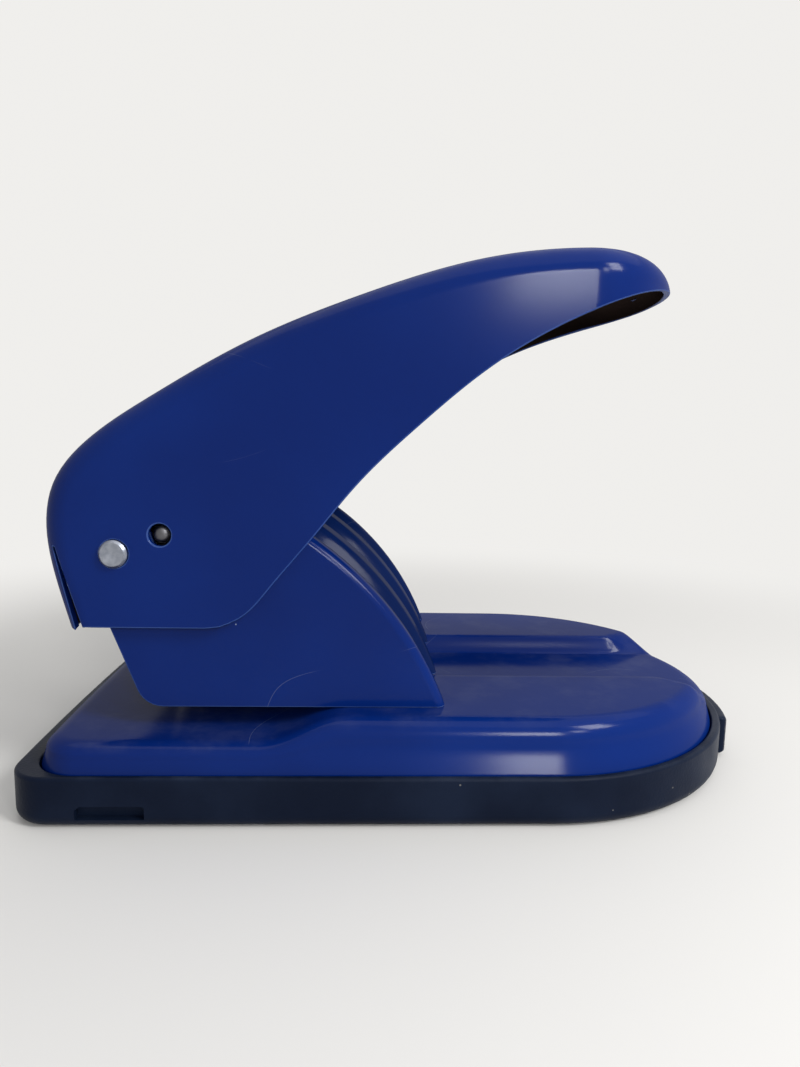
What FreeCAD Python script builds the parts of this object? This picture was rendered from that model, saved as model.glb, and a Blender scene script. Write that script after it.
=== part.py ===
"""A desk punch that cuts the strap slot in an identity card.

Millimetres, +Z up, the lever's free end towards +X, the side seen first is -Y.
The origin is the centre of the whole machine's footprint, on the surface it stands on.
Distances named from_rear are measured forwards from the tray's rear face.
"""
import FreeCAD, Part
import math
import os

from FreeCAD import Vector

# Tray under the base
tray_width = 109.0
body_length = 171.5
tray_height = 11.3
tray_floor = 2.0
tray_wall = 4.2
tray_rim = 1.6
tray_rear_rim = 4.1
tray_front_rim = 2.2
tray_ledge_z = 7.0
tray_edge_radius = 3.0
tray_corner_radius = 8.5
rear_bulge = 0.8
tab_depth = 2.0
tab_width = 38.0
tab_foot = 0.8
tab_height = 10.0
tab_radius = 1.2
pry_slot_from_rear = 15.7
pry_slot_length = 14.3
pry_slot_height = 3.0
pry_slot_z = 2.1

# Pressed steel base plate
sheet = 1.5
plate_gap = 0.3
plate_corner_radius = 10.0
low_z = 17.0
high_z = 22.0
edge_bend = 4.0
step_from_rear = 53.3
step_length = 18.5
channel_width = 36.8
channel_slope = 1.6

# Folded frame that carries the pivot
frame_width = 84.0
frame_sheet = 1.5
front_radius = 80.8
front_foot_from_rear = 93.7
front_centre_z = -6.7
front_top_from_rear = 47.8
wall_top_from_rear = 62.1
rim_radius = 2.0
rim_width = 5.5
rib_spacing = 28.0
rib_count = 2
rib_width = 9.0
rib_height = 4.5
rib_radius = 3.0
cheek_rear_foot_from_rear = 26.9
cheek_rear_slope = 0.47
cheek_corner_radius = 6.0
lug_radius = 8.5
foot_flange = 11.0
foot_flange_length = 14.0

# Lever
lever_sheet = 1.5
lever_bend = 6.0
lever_nose_length = 29.6
lever_rear_from_rear = 6.6
lever_tip_from_rear = 151.4
lever_heel_z = 39.6
lever_top_z = 122.6
plate_heel_from_rear = 15.0
plate_heel_z = 40.6
plate_heel_rise = 17.4
plate_heel_lean = 5.4
heel_slit = 1.4
slit_end = 0.5

# Pivot and the parts on it
pivot_from_rear = 22.3
pivot_z = 56.7
pivot_pin_diameter = 6.0
pin_proud = 1.2
pin_chamfer = 0.5
running_gap = 0.05
washer_diameter = 11.0
washer_thickness = 1.2
side_play = 0.15
ring_diameter = 9.5
ring_thickness = 0.8
ring_groove_depth = 0.5
ring_mouth = 4.2
spacer_diameter = 9.0

# Cross pin seen through the holes in the lever's sides
cross_pin_forward = 9.6
cross_pin_rise = 4.1
cross_pin_diameter = 3.8
cross_hole_diameter = 4.8
cross_pin_recess = 1.1
lever_travel_deg = 25.0
travel_spare_deg = 4.0

# Press bracket inside the lever
bracket_width = 30.0
bracket_sheet = 3.0
bracket_boss_radius = 8.0
bracket_nose_radius = 6.0
bracket_head_from_rear = 26.6
bracket_head_length = 22.0
bracket_bend = 3.0
press_pin_diameter = 8.0
press_gap = 0.1

# Punch set
punch_from_rear = 41.8
slot_length = 14.0
slot_width = 3.0
blade_gap = 0.05
die_gap = 0.06
blade_rest_above_floor = 4.9
head_diameter = 22.0
head_height = 6.0
head_socket = 4.0
head_below_pivot = 6.7
head_pin_diameter = 3.0
die_length = 34.0
die_width = 22.0
die_thickness = 5.0
die_boss_length = 20.0
die_boss_width = 8.0
die_relief = 1.0
die_land = 2.5
die_screw_spacing = 27.0
throat_height = 4.6

# Block that guides the punch over the throat
block_width = 32.0
card_depth = 6.5
block_heel_from_rear = 32.3
block_length = 44.0
block_top_z = 33.0
block_edge = 1.5
stripper_thickness = 1.0
stripper_length = 30.0
stripper_width = 13.0
block_screw_pitch = 13.0
block_screw_from_rear = 58.1

# Return spring
wire_diameter = 1.5
spring_diameter = 20.0
spring_coils = 5
seat_diameter = 22.0
seat_thickness = 1.0

# Fasteners
small_screw = 3.0
large_screw = 5.0
rivet_diameter = 3.0
rivet_pitch = 7.0
rivet_setback = 3.2
thread_gap = 0.05
block_screw_grip = 9.0
stripper_screw_grip = 5.0

length = body_length + tab_depth
rear_x = -length / 2
half_tray = tray_width / 2
nose_x = rear_x + body_length - half_tray
plate_bottom_z = tray_ledge_z + plate_gap
half_frame = frame_width / 2
half_lever = half_frame + washer_thickness + 2 * side_play + lever_sheet
lever_reach = lever_tip_from_rear - lever_rear_from_rear
lever_rise = lever_top_z - lever_heel_z
pivot_x = rear_x + pivot_from_rear
punch_x = rear_x + punch_from_rear
front_centre_x = (rear_x + front_foot_from_rear
                  - math.sqrt(front_radius ** 2 - (high_z - front_centre_z) ** 2))
wall_radius = front_radius - rib_height - frame_sheet
wall_x = front_centre_x + math.sqrt(wall_radius ** 2 - (high_z - front_centre_z) ** 2)
block_bottom_z = low_z + throat_height + stripper_thickness
spring_bottom_z = block_top_z + seat_thickness
head_bottom_z = pivot_z - head_below_pivot
head_top_z = head_bottom_z + head_height


def point(x, y, z):
    return Vector(x, y, z)


def save(name, *solids):
    """Write the separate solids of one sub-part to its own file."""
    shape = solids[0] if len(solids) == 1 else Part.makeCompound(list(solids))
    for solid in shape.Solids:
        if not solid.isValid() or solid.Volume <= 0:
            raise ValueError(name + " is not a sound solid")
    shape.exportStep("parts/" + name + ".step")
    print(name, len(shape.Solids), round(shape.Volume, 1))


def box(x0, x1, y0, y1, z0, z1):
    return Part.makeBox(x1 - x0, y1 - y0, z1 - z0, point(x0, y0, z0))


def upright(diameter, height, x, y, z):
    return Part.makeCylinder(diameter / 2, height, point(x, y, z))


def cross(diameter, y0, y1, x, z):
    """A round bar along Y."""
    return Part.makeCylinder(diameter / 2, y1 - y0, point(x, y0, z), point(0, 1, 0))


def rounded(corners):
    """A closed wire through (point, radius) corners, each rounded by its radius."""
    ends = []
    count = len(corners)
    for i, (here, radius) in enumerate(corners):
        before = corners[i - 1][0]
        after = corners[(i + 1) % count][0]
        to_before = (before - here).normalize()
        to_after = (after - here).normalize()
        if radius <= 0:
            ends.append((here, None, here))
            continue
        half = to_before.getAngle(to_after) / 2
        reach = radius / math.tan(half)
        middle = (to_before + to_after).normalize()
        crown = here + middle * (radius / math.sin(half) - radius)
        ends.append((here + to_before * reach, crown, here + to_after * reach))
    edges = []
    for i, (start, crown, end) in enumerate(ends):
        if crown is not None:
            edges.append(Part.Arc(start, crown, end).toShape())
        following = ends[(i + 1) % count][0]
        if (following - end).Length > 1e-6:
            edges.append(Part.LineSegment(end, following).toShape())
    return Part.Wire(edges)


def prism(wire, vector):
    return Part.Face(wire).extrude(vector)


def side_prism(corners, y0, y1):
    """Extrude an (x, z, radius) outline along Y."""
    wire = rounded([(point(x, y0, z), radius) for x, z, radius in corners])
    return prism(wire, point(0, y1 - y0, 0))


def both_sides(solid):
    """A solid and its mirror image across the machine's middle plane."""
    return [solid, solid.mirror(point(0, 0, 0), point(0, 1, 0))]


def plan_wire(inset, front_inset, rear_inset, corner, z):
    """A D-shaped plan, inside the tray's outermost sides: round front, bowed rear."""
    half = half_tray - inset
    centre_x = nose_x + inset - front_inset
    rear = rear_x + rear_inset
    side_rear = rear + rear_bulge
    cut = corner * math.sqrt(0.5)
    front_top = point(centre_x, half, z)
    front = point(centre_x + half, 0, z)
    front_low = point(centre_x, -half, z)
    corner_x = side_rear + corner
    corner_y = half - corner
    low_side = point(corner_x, -half, z)
    low_mid = point(corner_x - cut, -corner_y - cut, z)
    low_rear = point(side_rear, -corner_y, z)
    top_rear = point(side_rear, corner_y, z)
    top_mid = point(corner_x - cut, corner_y + cut, z)
    top_side = point(corner_x, half, z)
    return Part.Wire([
        Part.Arc(front_top, front, front_low).toShape(),
        Part.LineSegment(front_low, low_side).toShape(),
        Part.Arc(low_side, low_mid, low_rear).toShape(),
        Part.Arc(low_rear, point(rear, 0, z), top_rear).toShape(),
        Part.Arc(top_rear, top_mid, top_side).toShape(),
        Part.LineSegment(top_side, front_top).toShape(),
    ])


def seat_solid(depth, z0, z1):
    """The plan of the tray's seat for the plate, depth mm inside its edge, as a solid."""
    corner = plate_corner_radius + plate_gap - depth
    wire = plan_wire(tray_rim + depth, tray_front_rim + depth, tray_rear_rim + depth,
                     corner, z0)
    return prism(wire, point(0, 0, z1 - z0))


def level_edges(solid, z):
    """The edges of a solid that lie flat at one height."""
    found = []
    for edge in solid.Edges:
        bounds = edge.BoundBox
        if abs(bounds.ZMin - z) < 1e-4 and abs(bounds.ZMax - z) < 1e-4:
            found.append(edge)
    return found


def make_tab():
    """The pull tab, a band round the middle of the tray's front."""
    radius = half_tray + tab_depth
    tab = upright(2 * radius, tab_height, nose_x, 0, tab_foot)
    tab = tab.cut(upright(2 * half_tray - tray_wall, tab_height, nose_x, 0, tab_foot))
    tab = tab.common(box(nose_x, nose_x + radius, -tab_width / 2, tab_width / 2,
                         tab_foot, tab_foot + tab_height))
    corner_x = nose_x + math.sqrt(radius ** 2 - tab_width ** 2 / 4)
    outside = [edge for edge in tab.Edges if edge.BoundBox.XMin > corner_x - 1e-4]
    return tab.makeFillet(tab_radius, outside)


def make_tray():
    outer = prism(plan_wire(0, 0, 0, tray_corner_radius, 0), point(0, 0, tray_height))
    outer = outer.makeFillet(tray_edge_radius, level_edges(outer, 0))
    tray = outer.fuse(make_tab())
    tray = tray.cut(seat_solid(tray_wall - tray_rim, tray_floor, tray_height + 1))
    tray = tray.cut(seat_solid(0, tray_ledge_z, tray_height + 1))
    slot_x = rear_x + pry_slot_from_rear
    slot = box(slot_x, slot_x + pry_slot_length, -half_tray - 1, -half_tray + tray_wall / 2,
               pry_slot_z, pry_slot_z + pry_slot_height)
    return tray.cut(slot).removeSplitter()


def step_prism(drop):
    """Everything in front of the S-shaped step in the plate, drop mm below its top."""
    start = rear_x + step_from_rear + drop
    end = start + step_length
    low = low_z - drop
    high = high_z - drop
    rise = high - low
    middle = point((start + end) / 2, 0, (low + high) / 2)
    radius = (step_length ** 2 + rise ** 2) / (4 * rise)
    turn = math.asin(step_length / 2 / radius) / 2
    across = radius * math.sin(turn)
    lift = radius * (1 - math.cos(turn))
    foot = Part.Arc(point(start, 0, low), point(start + across, 0, low + lift), middle)
    crest = Part.Arc(middle, point(end - across, 0, high - lift), point(end, 0, high))
    far = nose_x + half_tray + 1
    outline = [point(end, 0, high), point(far, 0, high), point(far, 0, 0),
               point(start, 0, 0), point(start, 0, low)]
    edges = [foot.toShape(), crest.toShape()]
    for first, second in zip(outline, outline[1:]):
        edges.append(Part.LineSegment(first, second).toShape())
    wire = Part.Wire(edges)
    wire.translate(point(0, -half_tray, 0))
    return prism(wire, point(0, tray_width, 0))


def plate_form(drop):
    """The plate's pressed form, drop mm inside its skin: low floor, high bands, channel."""
    depth = plate_gap + drop
    bend = edge_bend - drop
    bottom = plate_bottom_z - (1 if drop else 0)
    low = seat_solid(depth, bottom, low_z - drop)
    low = low.makeFillet(bend, level_edges(low, low_z - drop))
    high = seat_solid(depth, bottom, high_z - drop)
    high = high.makeFillet(bend, level_edges(high, high_z - drop))
    high = high.common(step_prism(drop))
    top = channel_width / 2 + drop
    foot = top - channel_slope
    floor = low_z - drop
    rise = high_z - low_z
    start = rear_x + step_from_rear - 1
    wall = [(point(start, -foot, floor), 0), (point(start, foot, floor), 0),
            (point(start, top, floor + rise), 0), (point(start, top, floor + 2 * rise), 0),
            (point(start, -top, floor + 2 * rise), 0), (point(start, -top, floor + rise), 0)]
    channel = prism(rounded(wall), point(body_length, 0, 0))
    return low.fuse(high.cut(channel)).removeSplitter()


def rivet_places():
    start = wall_x - rivet_setback - rivet_pitch
    y = half_frame - frame_sheet - foot_flange / 2
    return [(start + i * rivet_pitch, side * y) for i in range(2) for side in (-1, 1)]


def die_screw_places():
    return [(punch_x, side * die_screw_spacing / 2) for side in (-1, 1)]


def block_screw_places():
    start = rear_x + block_screw_from_rear
    return [(start + i * block_screw_pitch, 0) for i in range(2)]


def make_base_plate():
    plate = plate_form(0).cut(plate_form(sheet))
    window_x = die_boss_length / 2 + thread_gap
    window_y = die_boss_width / 2 + thread_gap
    cuts = [box(punch_x - window_y, punch_x + window_y, -window_x, window_x, 0, high_z)]
    for x, y in rivet_places():
        cuts.append(upright(rivet_diameter, high_z, x, y, 0))
    for x, y in die_screw_places():
        cuts.append(upright(small_screw + 2 * thread_gap, high_z, x, y, 0))
        cuts.append(Part.makeCone(small_screw / 2, small_screw, small_screw / 2,
                                  point(x, y, low_z - small_screw / 2)))
    for x, y in block_screw_places():
        cuts.append(upright(large_screw + 2 * thread_gap, high_z, x, y, 0))
    return plate.cut(cuts).removeSplitter()


def make_die_plate():
    bottom = low_z - sheet - die_thickness
    top = low_z - sheet
    die = box(punch_x - die_width / 2, punch_x + die_width / 2,
              -die_length / 2, die_length / 2, bottom, top)
    die = die.fuse(box(punch_x - die_boss_width / 2, punch_x + die_boss_width / 2,
                       -die_boss_length / 2, die_boss_length / 2, top, low_z))
    slot_x = slot_width / 2 + die_gap
    slot_y = slot_length / 2 + die_gap
    die = die.cut(box(punch_x - slot_x, punch_x + slot_x, -slot_y, slot_y, 0, high_z))
    relief_x = slot_x + die_relief
    relief_y = slot_y + die_relief
    die = die.cut(box(punch_x - relief_x, punch_x + relief_x, -relief_y, relief_y,
                      0, low_z - die_land))
    for x, y in die_screw_places():
        die = die.cut(upright(small_screw, high_z, x, y, 0))
    return die.removeSplitter()


def make_die_screws():
    screws = []
    for x, y in die_screw_places():
        shank = upright(small_screw - 2 * thread_gap, die_thickness, x, y,
                        low_z - sheet - die_thickness)
        head_z = low_z - small_screw / 2
        cone = Part.makeCone(small_screw / 2 - thread_gap, small_screw - thread_gap,
                             small_screw / 2, point(x, y, head_z))
        neck = upright(small_screw - 2 * thread_gap, sheet + 1, x, y, head_z - sheet)
        screw = shank.fuse([cone, neck])
        drive = box(x - small_screw, x + small_screw, y - 0.3, y + 0.3, low_z - 0.6, low_z + 1)
        screws.append(screw.cut(drive).removeSplitter())
    return screws


def section_corners(depth):
    """The front wall's section as (y, r) corners, depth mm inside its outer skin."""
    valley = front_radius - rib_height - depth
    crest = front_radius - depth
    side = half_frame - depth
    corners = [(-side, valley - depth, 0), (-side, crest, rim_radius - depth)]
    edge = side - rim_width + depth
    corners.append((-edge, crest, rib_radius - depth))
    corners.append((-edge + rib_height / 2, valley, rib_radius))
    first = -(rib_count - 1) * rib_spacing / 2
    half = rib_width / 2 - depth
    for i in range(rib_count):
        y = first + i * rib_spacing
        corners.append((y - half - rib_height / 2, valley, rib_radius))
        corners.append((y - half, crest, rib_radius - depth))
        corners.append((y + half, crest, rib_radius - depth))
        corners.append((y + half + rib_height / 2, valley, rib_radius))
    corners.append((edge - rib_height / 2, valley, rib_radius))
    corners.append((edge, crest, rib_radius - depth))
    corners.append((side, crest, rim_radius - depth))
    corners.append((side, valley - depth, 0))
    return corners


def front_solid(depth, base_depth):
    """The ribbed front wall as a solid of revolution about the frame's front centre."""
    floor = front_radius - rib_height - base_depth
    corners = section_corners(depth)
    corners[0] = (corners[0][0], floor, 0)
    corners[-1] = (corners[-1][0], floor, 0)
    wire = rounded([(point(r, y, 0), radius) for y, r, radius in corners])
    centre = point(front_centre_x, 0, front_centre_z)
    wire.translate(centre)
    reach = rear_x + wall_top_from_rear - front_centre_x
    top_angle = math.degrees(math.acos(reach / front_radius))
    foot_angle = math.degrees(math.asin((low_z - front_centre_z) / front_radius)) - 1
    face = Part.Face(wire)
    face.rotate(centre, point(0, 1, 0), -foot_angle)
    return face.revolve(centre, point(0, 1, 0), -(top_angle - foot_angle))


def cheek_outline():
    """One cheek of the frame as a closed wire in the XZ plane."""
    radius = front_radius - rim_radius
    reach = rear_x + front_top_from_rear - front_centre_x
    top_angle = math.acos(reach / front_radius)
    foot_angle = math.asin((high_z - front_centre_z) / radius)
    middle = (top_angle + foot_angle) / 2

    def on_arc(angle):
        return point(front_centre_x + radius * math.cos(angle), 0,
                     front_centre_z + radius * math.sin(angle))

    lean = math.atan(cheek_rear_slope)
    foot_x = rear_x + cheek_rear_foot_from_rear
    lug_rear = point(pivot_x - lug_radius * math.cos(lean), 0,
                     pivot_z - lug_radius * math.sin(lean))
    lug_top = point(pivot_x, 0, pivot_z + lug_radius)
    turn = math.radians(135) - lean / 2
    lug_mid = point(pivot_x + lug_radius * math.cos(turn), 0,
                    pivot_z + lug_radius * math.sin(turn))
    corner = point(foot_x, 0, high_z)
    up = (lug_rear - corner).normalize()
    half = up.getAngle(point(1, 0, 0)) / 2
    back = cheek_corner_radius / math.tan(half)
    bisector = (up + point(1, 0, 0)).normalize()
    crown = corner + bisector * (cheek_corner_radius / math.sin(half) - cheek_corner_radius)
    low_end = corner + point(back, 0, 0)
    high_end = corner + up * back
    return Part.Wire([
        Part.Arc(on_arc(foot_angle), on_arc(middle), on_arc(top_angle)).toShape(),
        Part.LineSegment(on_arc(top_angle), lug_top).toShape(),
        Part.Arc(lug_top, lug_mid, lug_rear).toShape(),
        Part.LineSegment(lug_rear, high_end).toShape(),
        Part.Arc(high_end, crown, low_end).toShape(),
        Part.LineSegment(low_end, on_arc(foot_angle)).toShape(),
    ])


def cross_pin_slot(y0, y1):
    """The arc-shaped slot that lets the cross pin swing with the lever."""
    reach = math.hypot(cross_pin_forward, cross_pin_rise)
    start = math.degrees(math.atan2(cross_pin_rise, cross_pin_forward))
    half = cross_pin_diameter / 2 + 0.7
    ring = cross(2 * (reach + half), y0, y1, pivot_x, pivot_z)
    ring = ring.cut(cross(2 * (reach - half), y0, y1, pivot_x, pivot_z))
    wedge_start = start + travel_spare_deg
    sweep = lever_travel_deg + 2 * travel_spare_deg
    far = 3 * reach
    corners = [point(pivot_x, y0, pivot_z)]
    for share in (0, 1):
        angle = math.radians(wedge_start - share * sweep)
        corners.append(point(pivot_x + far * math.cos(angle), y0,
                             pivot_z + far * math.sin(angle)))
    wedge = prism(Part.makePolygon(corners + [corners[0]]), point(0, y1 - y0, 0))
    slot = ring.common(wedge)
    ends = []
    for share in (0, 1):
        angle = math.radians(wedge_start - share * sweep)
        ends.append(cross(2 * half, y0, y1, pivot_x + reach * math.cos(angle),
                          pivot_z + reach * math.sin(angle)))
    return slot.fuse(ends)


def make_frame():
    wall = front_solid(0, frame_sheet).cut(front_solid(frame_sheet, frame_sheet + 2))
    outline = cheek_outline()
    outline.translate(point(0, -half_frame, 0))
    cheek = prism(outline, point(0, frame_sheet, 0))
    inner = half_frame - frame_sheet
    flange = box(wall_x - foot_flange_length, wall_x + frame_sheet / 2,
                 -inner - frame_sheet / 2, -inner + foot_flange, high_z,
                 high_z + frame_sheet)
    frame = wall.fuse(both_sides(cheek.fuse(flange)))
    below = box(rear_x, nose_x + half_tray, -half_tray, half_tray, 0, high_z)
    bore = cross(pivot_pin_diameter + 2 * running_gap, -half_lever, half_lever,
                 pivot_x, pivot_z)
    holes = [upright(rivet_diameter, high_z * 2, x, y, 0) for x, y in rivet_places()]
    slots = both_sides(cross_pin_slot(-half_frame - 1, -inner + 1))
    return frame.cut([below, bore] + holes + slots).removeSplitter()


def make_rivets():
    rivets = []
    for x, y in rivet_places():
        top = high_z + frame_sheet
        bottom = high_z - sheet
        shank = upright(rivet_diameter, top - bottom, x, y, bottom)
        head = Part.makeSphere(rivet_diameter, point(x, y, top - rivet_diameter / 2))
        head = head.common(upright(2 * rivet_diameter, rivet_diameter, x, y, top))
        tail = upright(1.7 * rivet_diameter, rivet_diameter / 3, x, y,
                       bottom - rivet_diameter / 3)
        rivets.append(shank.fuse([head, tail]).removeSplitter())
    return rivets


def lever_point(along, up):
    """A place in the lever's side view, as shares of its reach and its rise."""
    return point(rear_x + lever_rear_from_rear + along * lever_reach, 0,
                 lever_heel_z + up * lever_rise)


def lever_back(depth):
    """The lever's back in side view, from below the heel to the tip, depth mm inside."""
    shape = [(0.057, -0.176), (0.031, 0.0), (0.008, 0.153), (0.0, 0.258), (0.013, 0.384),
             (0.069, 0.501), (0.155, 0.604), (0.297, 0.747), (0.466, 0.872),
             (0.646, 0.969), (0.796, 1.0), (0.906, 0.992), (1.007, 0.959)]
    points = [lever_point(along, up) for along, up in shape]
    curve = Part.BSplineCurve()
    curve.interpolate(points)
    if depth == 0:
        return curve
    moved = []
    for place in points:
        along = curve.tangent(curve.parameter(place))[0]
        moved.append(place + point(along.z, 0, -along.x) * depth)
    inner = Part.BSplineCurve()
    inner.interpolate(moved)
    return inner


def lever_plan(inset):
    """A prism over the lever's plan: straight sides and an elliptical nose."""
    half = half_lever - inset
    nose = lever_nose_length - inset
    start = rear_x + lever_tip_from_rear - lever_nose_length
    ellipse = Part.Ellipse(point(0, 0, 0), half, nose)
    arc = Part.ArcOfEllipse(ellipse, math.pi, 2 * math.pi).toShape()
    arc.rotate(point(0, 0, 0), point(0, 0, 1), 90)
    arc.translate(point(start, 0, 0))
    back = rear_x - 1
    edges = [arc,
             Part.LineSegment(point(start, half, 0), point(back, half, 0)).toShape(),
             Part.LineSegment(point(back, half, 0), point(back, -half, 0)).toShape(),
             Part.LineSegment(point(back, -half, 0), point(start, -half, 0)).toShape()]
    return prism(Part.Wire(Part.sortEdges(edges)[0]), point(0, 0, lever_top_z + lever_rise))


def lever_block(depth):
    """The solid under the lever's back, bounded by its sides and nose, with bent edges."""
    back = lever_back(depth)
    start = back.StartPoint
    end = back.EndPoint
    corner = point(end.x, 0, start.z)
    wire = Part.Wire([back.toShape(), Part.LineSegment(end, corner).toShape(),
                      Part.LineSegment(corner, start).toShape()])
    wire.translate(point(0, -half_lever - 1, 0))
    block = prism(wire, point(0, 2 * half_lever + 2, 0)).common(lever_plan(depth))
    curved = [face for face in block.Faces if not isinstance(face.Surface, Part.Plane)]
    skin = max(curved, key=lambda face: face.Area)
    crown = [edge for edge in skin.Edges if edge.BoundBox.ZMax > lever_heel_z]
    return block.makeFillet(lever_bend - depth, crown)


def lever_edge():
    """The prism that a side view of the lever fills, down to its lower edge."""
    shape = [(0.259, 0.016), (0.291, 0.042), (0.332, 0.117), (0.392, 0.243),
             (0.463, 0.395), (0.551, 0.545), (0.649, 0.689), (0.758, 0.805),
             (0.823, 0.856), (0.906, 0.904), (1.014, 0.942)]
    toe_start = 0.238
    points = [lever_point(along, up) for along, up in shape]
    curve = Part.BSplineCurve()
    curve.interpolate(points)
    end = points[-1]
    heel = rear_x + plate_heel_from_rear
    top = point(end.x, 0, lever_top_z + lever_rise)
    far = point(rear_x - 1, 0, lever_top_z + lever_rise)
    low = point(rear_x - 1, 0, lever_heel_z)
    path = [end, top, far, low, point(heel - heel_slit, 0, lever_heel_z),
            point(heel, 0, plate_heel_z),
            point(lever_point(toe_start, 0).x, 0, plate_heel_z), points[0]]
    edges = [curve.toShape()]
    for first, second in zip(path, path[1:]):
        edges.append(Part.LineSegment(first, second).toShape())
    wire = Part.Wire(edges)
    wire.translate(point(0, -half_lever - 1, 0))
    return prism(wire, point(0, 2 * half_lever + 2, 0))


def make_lever():
    shell = lever_block(0).common(lever_edge()).cut(lever_block(lever_sheet))
    heel = rear_x + plate_heel_from_rear
    slit_top = plate_heel_z + plate_heel_rise
    slit_foot = lever_heel_z - heel_slit
    slit = [(heel - heel_slit, slit_foot, 0), (heel, slit_foot, 0),
            (heel, plate_heel_z, 0), (heel - plate_heel_lean, slit_top, 0),
            (heel - plate_heel_lean - slit_end, slit_top, 0)]
    slits = both_sides(side_prism(slit, -half_lever - 1, -half_lever + lever_bend))
    bore = cross(pivot_pin_diameter, -half_lever - 1, half_lever + 1, pivot_x, pivot_z)
    hole = cross(cross_hole_diameter, -half_lever - 1, half_lever + 1,
                 pivot_x + cross_pin_forward, pivot_z + cross_pin_rise)
    return shell.cut([bore, hole] + slits).removeSplitter()


def make_pivot_pin():
    half = half_lever + pin_proud
    pin = cross(pivot_pin_diameter, -half, half, pivot_x, pivot_z)
    ends = [edge for edge in pin.Edges if edge.BoundBox.YLength < 0.01]
    pin = pin.makeChamfer(pin_chamfer, ends)
    for groove in ring_blanks(pivot_pin_diameter + 2):
        core = cross(pivot_pin_diameter - 2 * ring_groove_depth, -half, half,
                     pivot_x, pivot_z)
        pin = pin.cut(groove.cut(core))
    return pin.removeSplitter()


def ring_blanks(diameter):
    near = half_frame - frame_sheet - side_play
    return both_sides(cross(diameter, -near, -near + ring_thickness, pivot_x, pivot_z))


def make_retaining_rings():
    rings = []
    core = pivot_pin_diameter - 2 * ring_groove_depth
    for blank in ring_blanks(ring_diameter):
        ring = blank.cut(cross(core, -half_lever, half_lever, pivot_x, pivot_z))
        mouth = box(pivot_x - ring_mouth / 2, pivot_x + ring_mouth / 2,
                    -half_lever, half_lever, pivot_z - ring_diameter, pivot_z)
        rings.append(ring.cut(mouth))
    return rings


def make_washers():
    inner = half_frame + side_play
    outer = inner + washer_thickness
    washer = cross(washer_diameter, -outer, -inner, pivot_x, pivot_z)
    washer = washer.cut(cross(pivot_pin_diameter, -outer, -inner, pivot_x, pivot_z))
    return both_sides(washer)


def make_spacers():
    outer = half_frame - frame_sheet - 2 * side_play - ring_thickness
    inner = bracket_width / 2
    spacer = cross(spacer_diameter, -outer, -inner, pivot_x, pivot_z)
    spacer = spacer.cut(cross(pivot_pin_diameter, -outer, -inner, pivot_x, pivot_z))
    return both_sides(spacer)


def press_pin_centre():
    return punch_x, head_top_z + press_gap + press_pin_diameter / 2


def make_bracket():
    """Two steel side plates and a head that is spot-welded inside the lever's back."""
    curve = lever_back(lever_sheet)
    head_rear = rear_x + bracket_head_from_rear
    head_front = head_rear + bracket_head_length
    rear_top = back_height(curve, head_rear)
    front_top = back_height(curve, head_front)
    press_x, press_z = press_pin_centre()
    drop = bracket_sheet * 1.15
    outline = [(head_rear, rear_top, 0), (head_front, front_top, 0),
               (head_front, front_top - 3 * bracket_sheet, bracket_bend),
               (press_x + bracket_nose_radius, press_z + bracket_nose_radius, bracket_bend),
               (press_x + bracket_nose_radius, press_z - bracket_nose_radius / 2,
                bracket_nose_radius / 2),
               (pivot_x + bracket_boss_radius, pivot_z - bracket_boss_radius,
                bracket_bend),
               (pivot_x - bracket_boss_radius, pivot_z - bracket_boss_radius,
                bracket_boss_radius - 1),
               (pivot_x - bracket_boss_radius, pivot_z + bracket_boss_radius,
                bracket_bend)]
    half = bracket_width / 2
    body = side_prism(outline, -half, half)
    inside = half - bracket_sheet
    over = bracket_head_length
    climb = front_top - rear_top
    hollow = [(head_rear - over, 0, 0), (head_front + over, 0, 0),
              (head_front + over, front_top - drop + climb, 0),
              (head_rear - over, rear_top - drop - climb, 0)]
    body = body.cut(side_prism(hollow, -inside, inside))
    holes = [cross(pivot_pin_diameter, -half_lever, half_lever, pivot_x, pivot_z),
             cross(cross_pin_diameter, -half_lever, half_lever,
                   pivot_x + cross_pin_forward, pivot_z + cross_pin_rise),
             cross(press_pin_diameter, -half_lever, half_lever, press_x, press_z)]
    return body.cut(holes).removeSplitter()


def back_height(curve, x):
    """The height of the lever's inner back at one place along it."""
    plane = Part.LineSegment(point(x, 0, pivot_z + lug_radius),
                             point(x, 0, lever_top_z + lever_rise))
    hit = curve.toShape().distToShape(plane.toShape())[1][0][0]
    return hit.z


def make_cross_pin():
    half = half_lever - cross_pin_recess
    return cross(cross_pin_diameter, -half, half, pivot_x + cross_pin_forward,
                 pivot_z + cross_pin_rise)


def make_press_pin():
    x, z = press_pin_centre()
    half = bracket_width / 2 + 1
    pin = cross(press_pin_diameter, -half, half, x, z)
    return pin.makeChamfer(pin_chamfer, [e for e in pin.Edges if e.BoundBox.YLength < 0.01])


def blade_box(gap, z0, z1):
    x = slot_width / 2 + gap
    y = slot_length / 2 + gap
    return box(punch_x - x, punch_x + x, -y, y, z0, z1)


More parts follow.
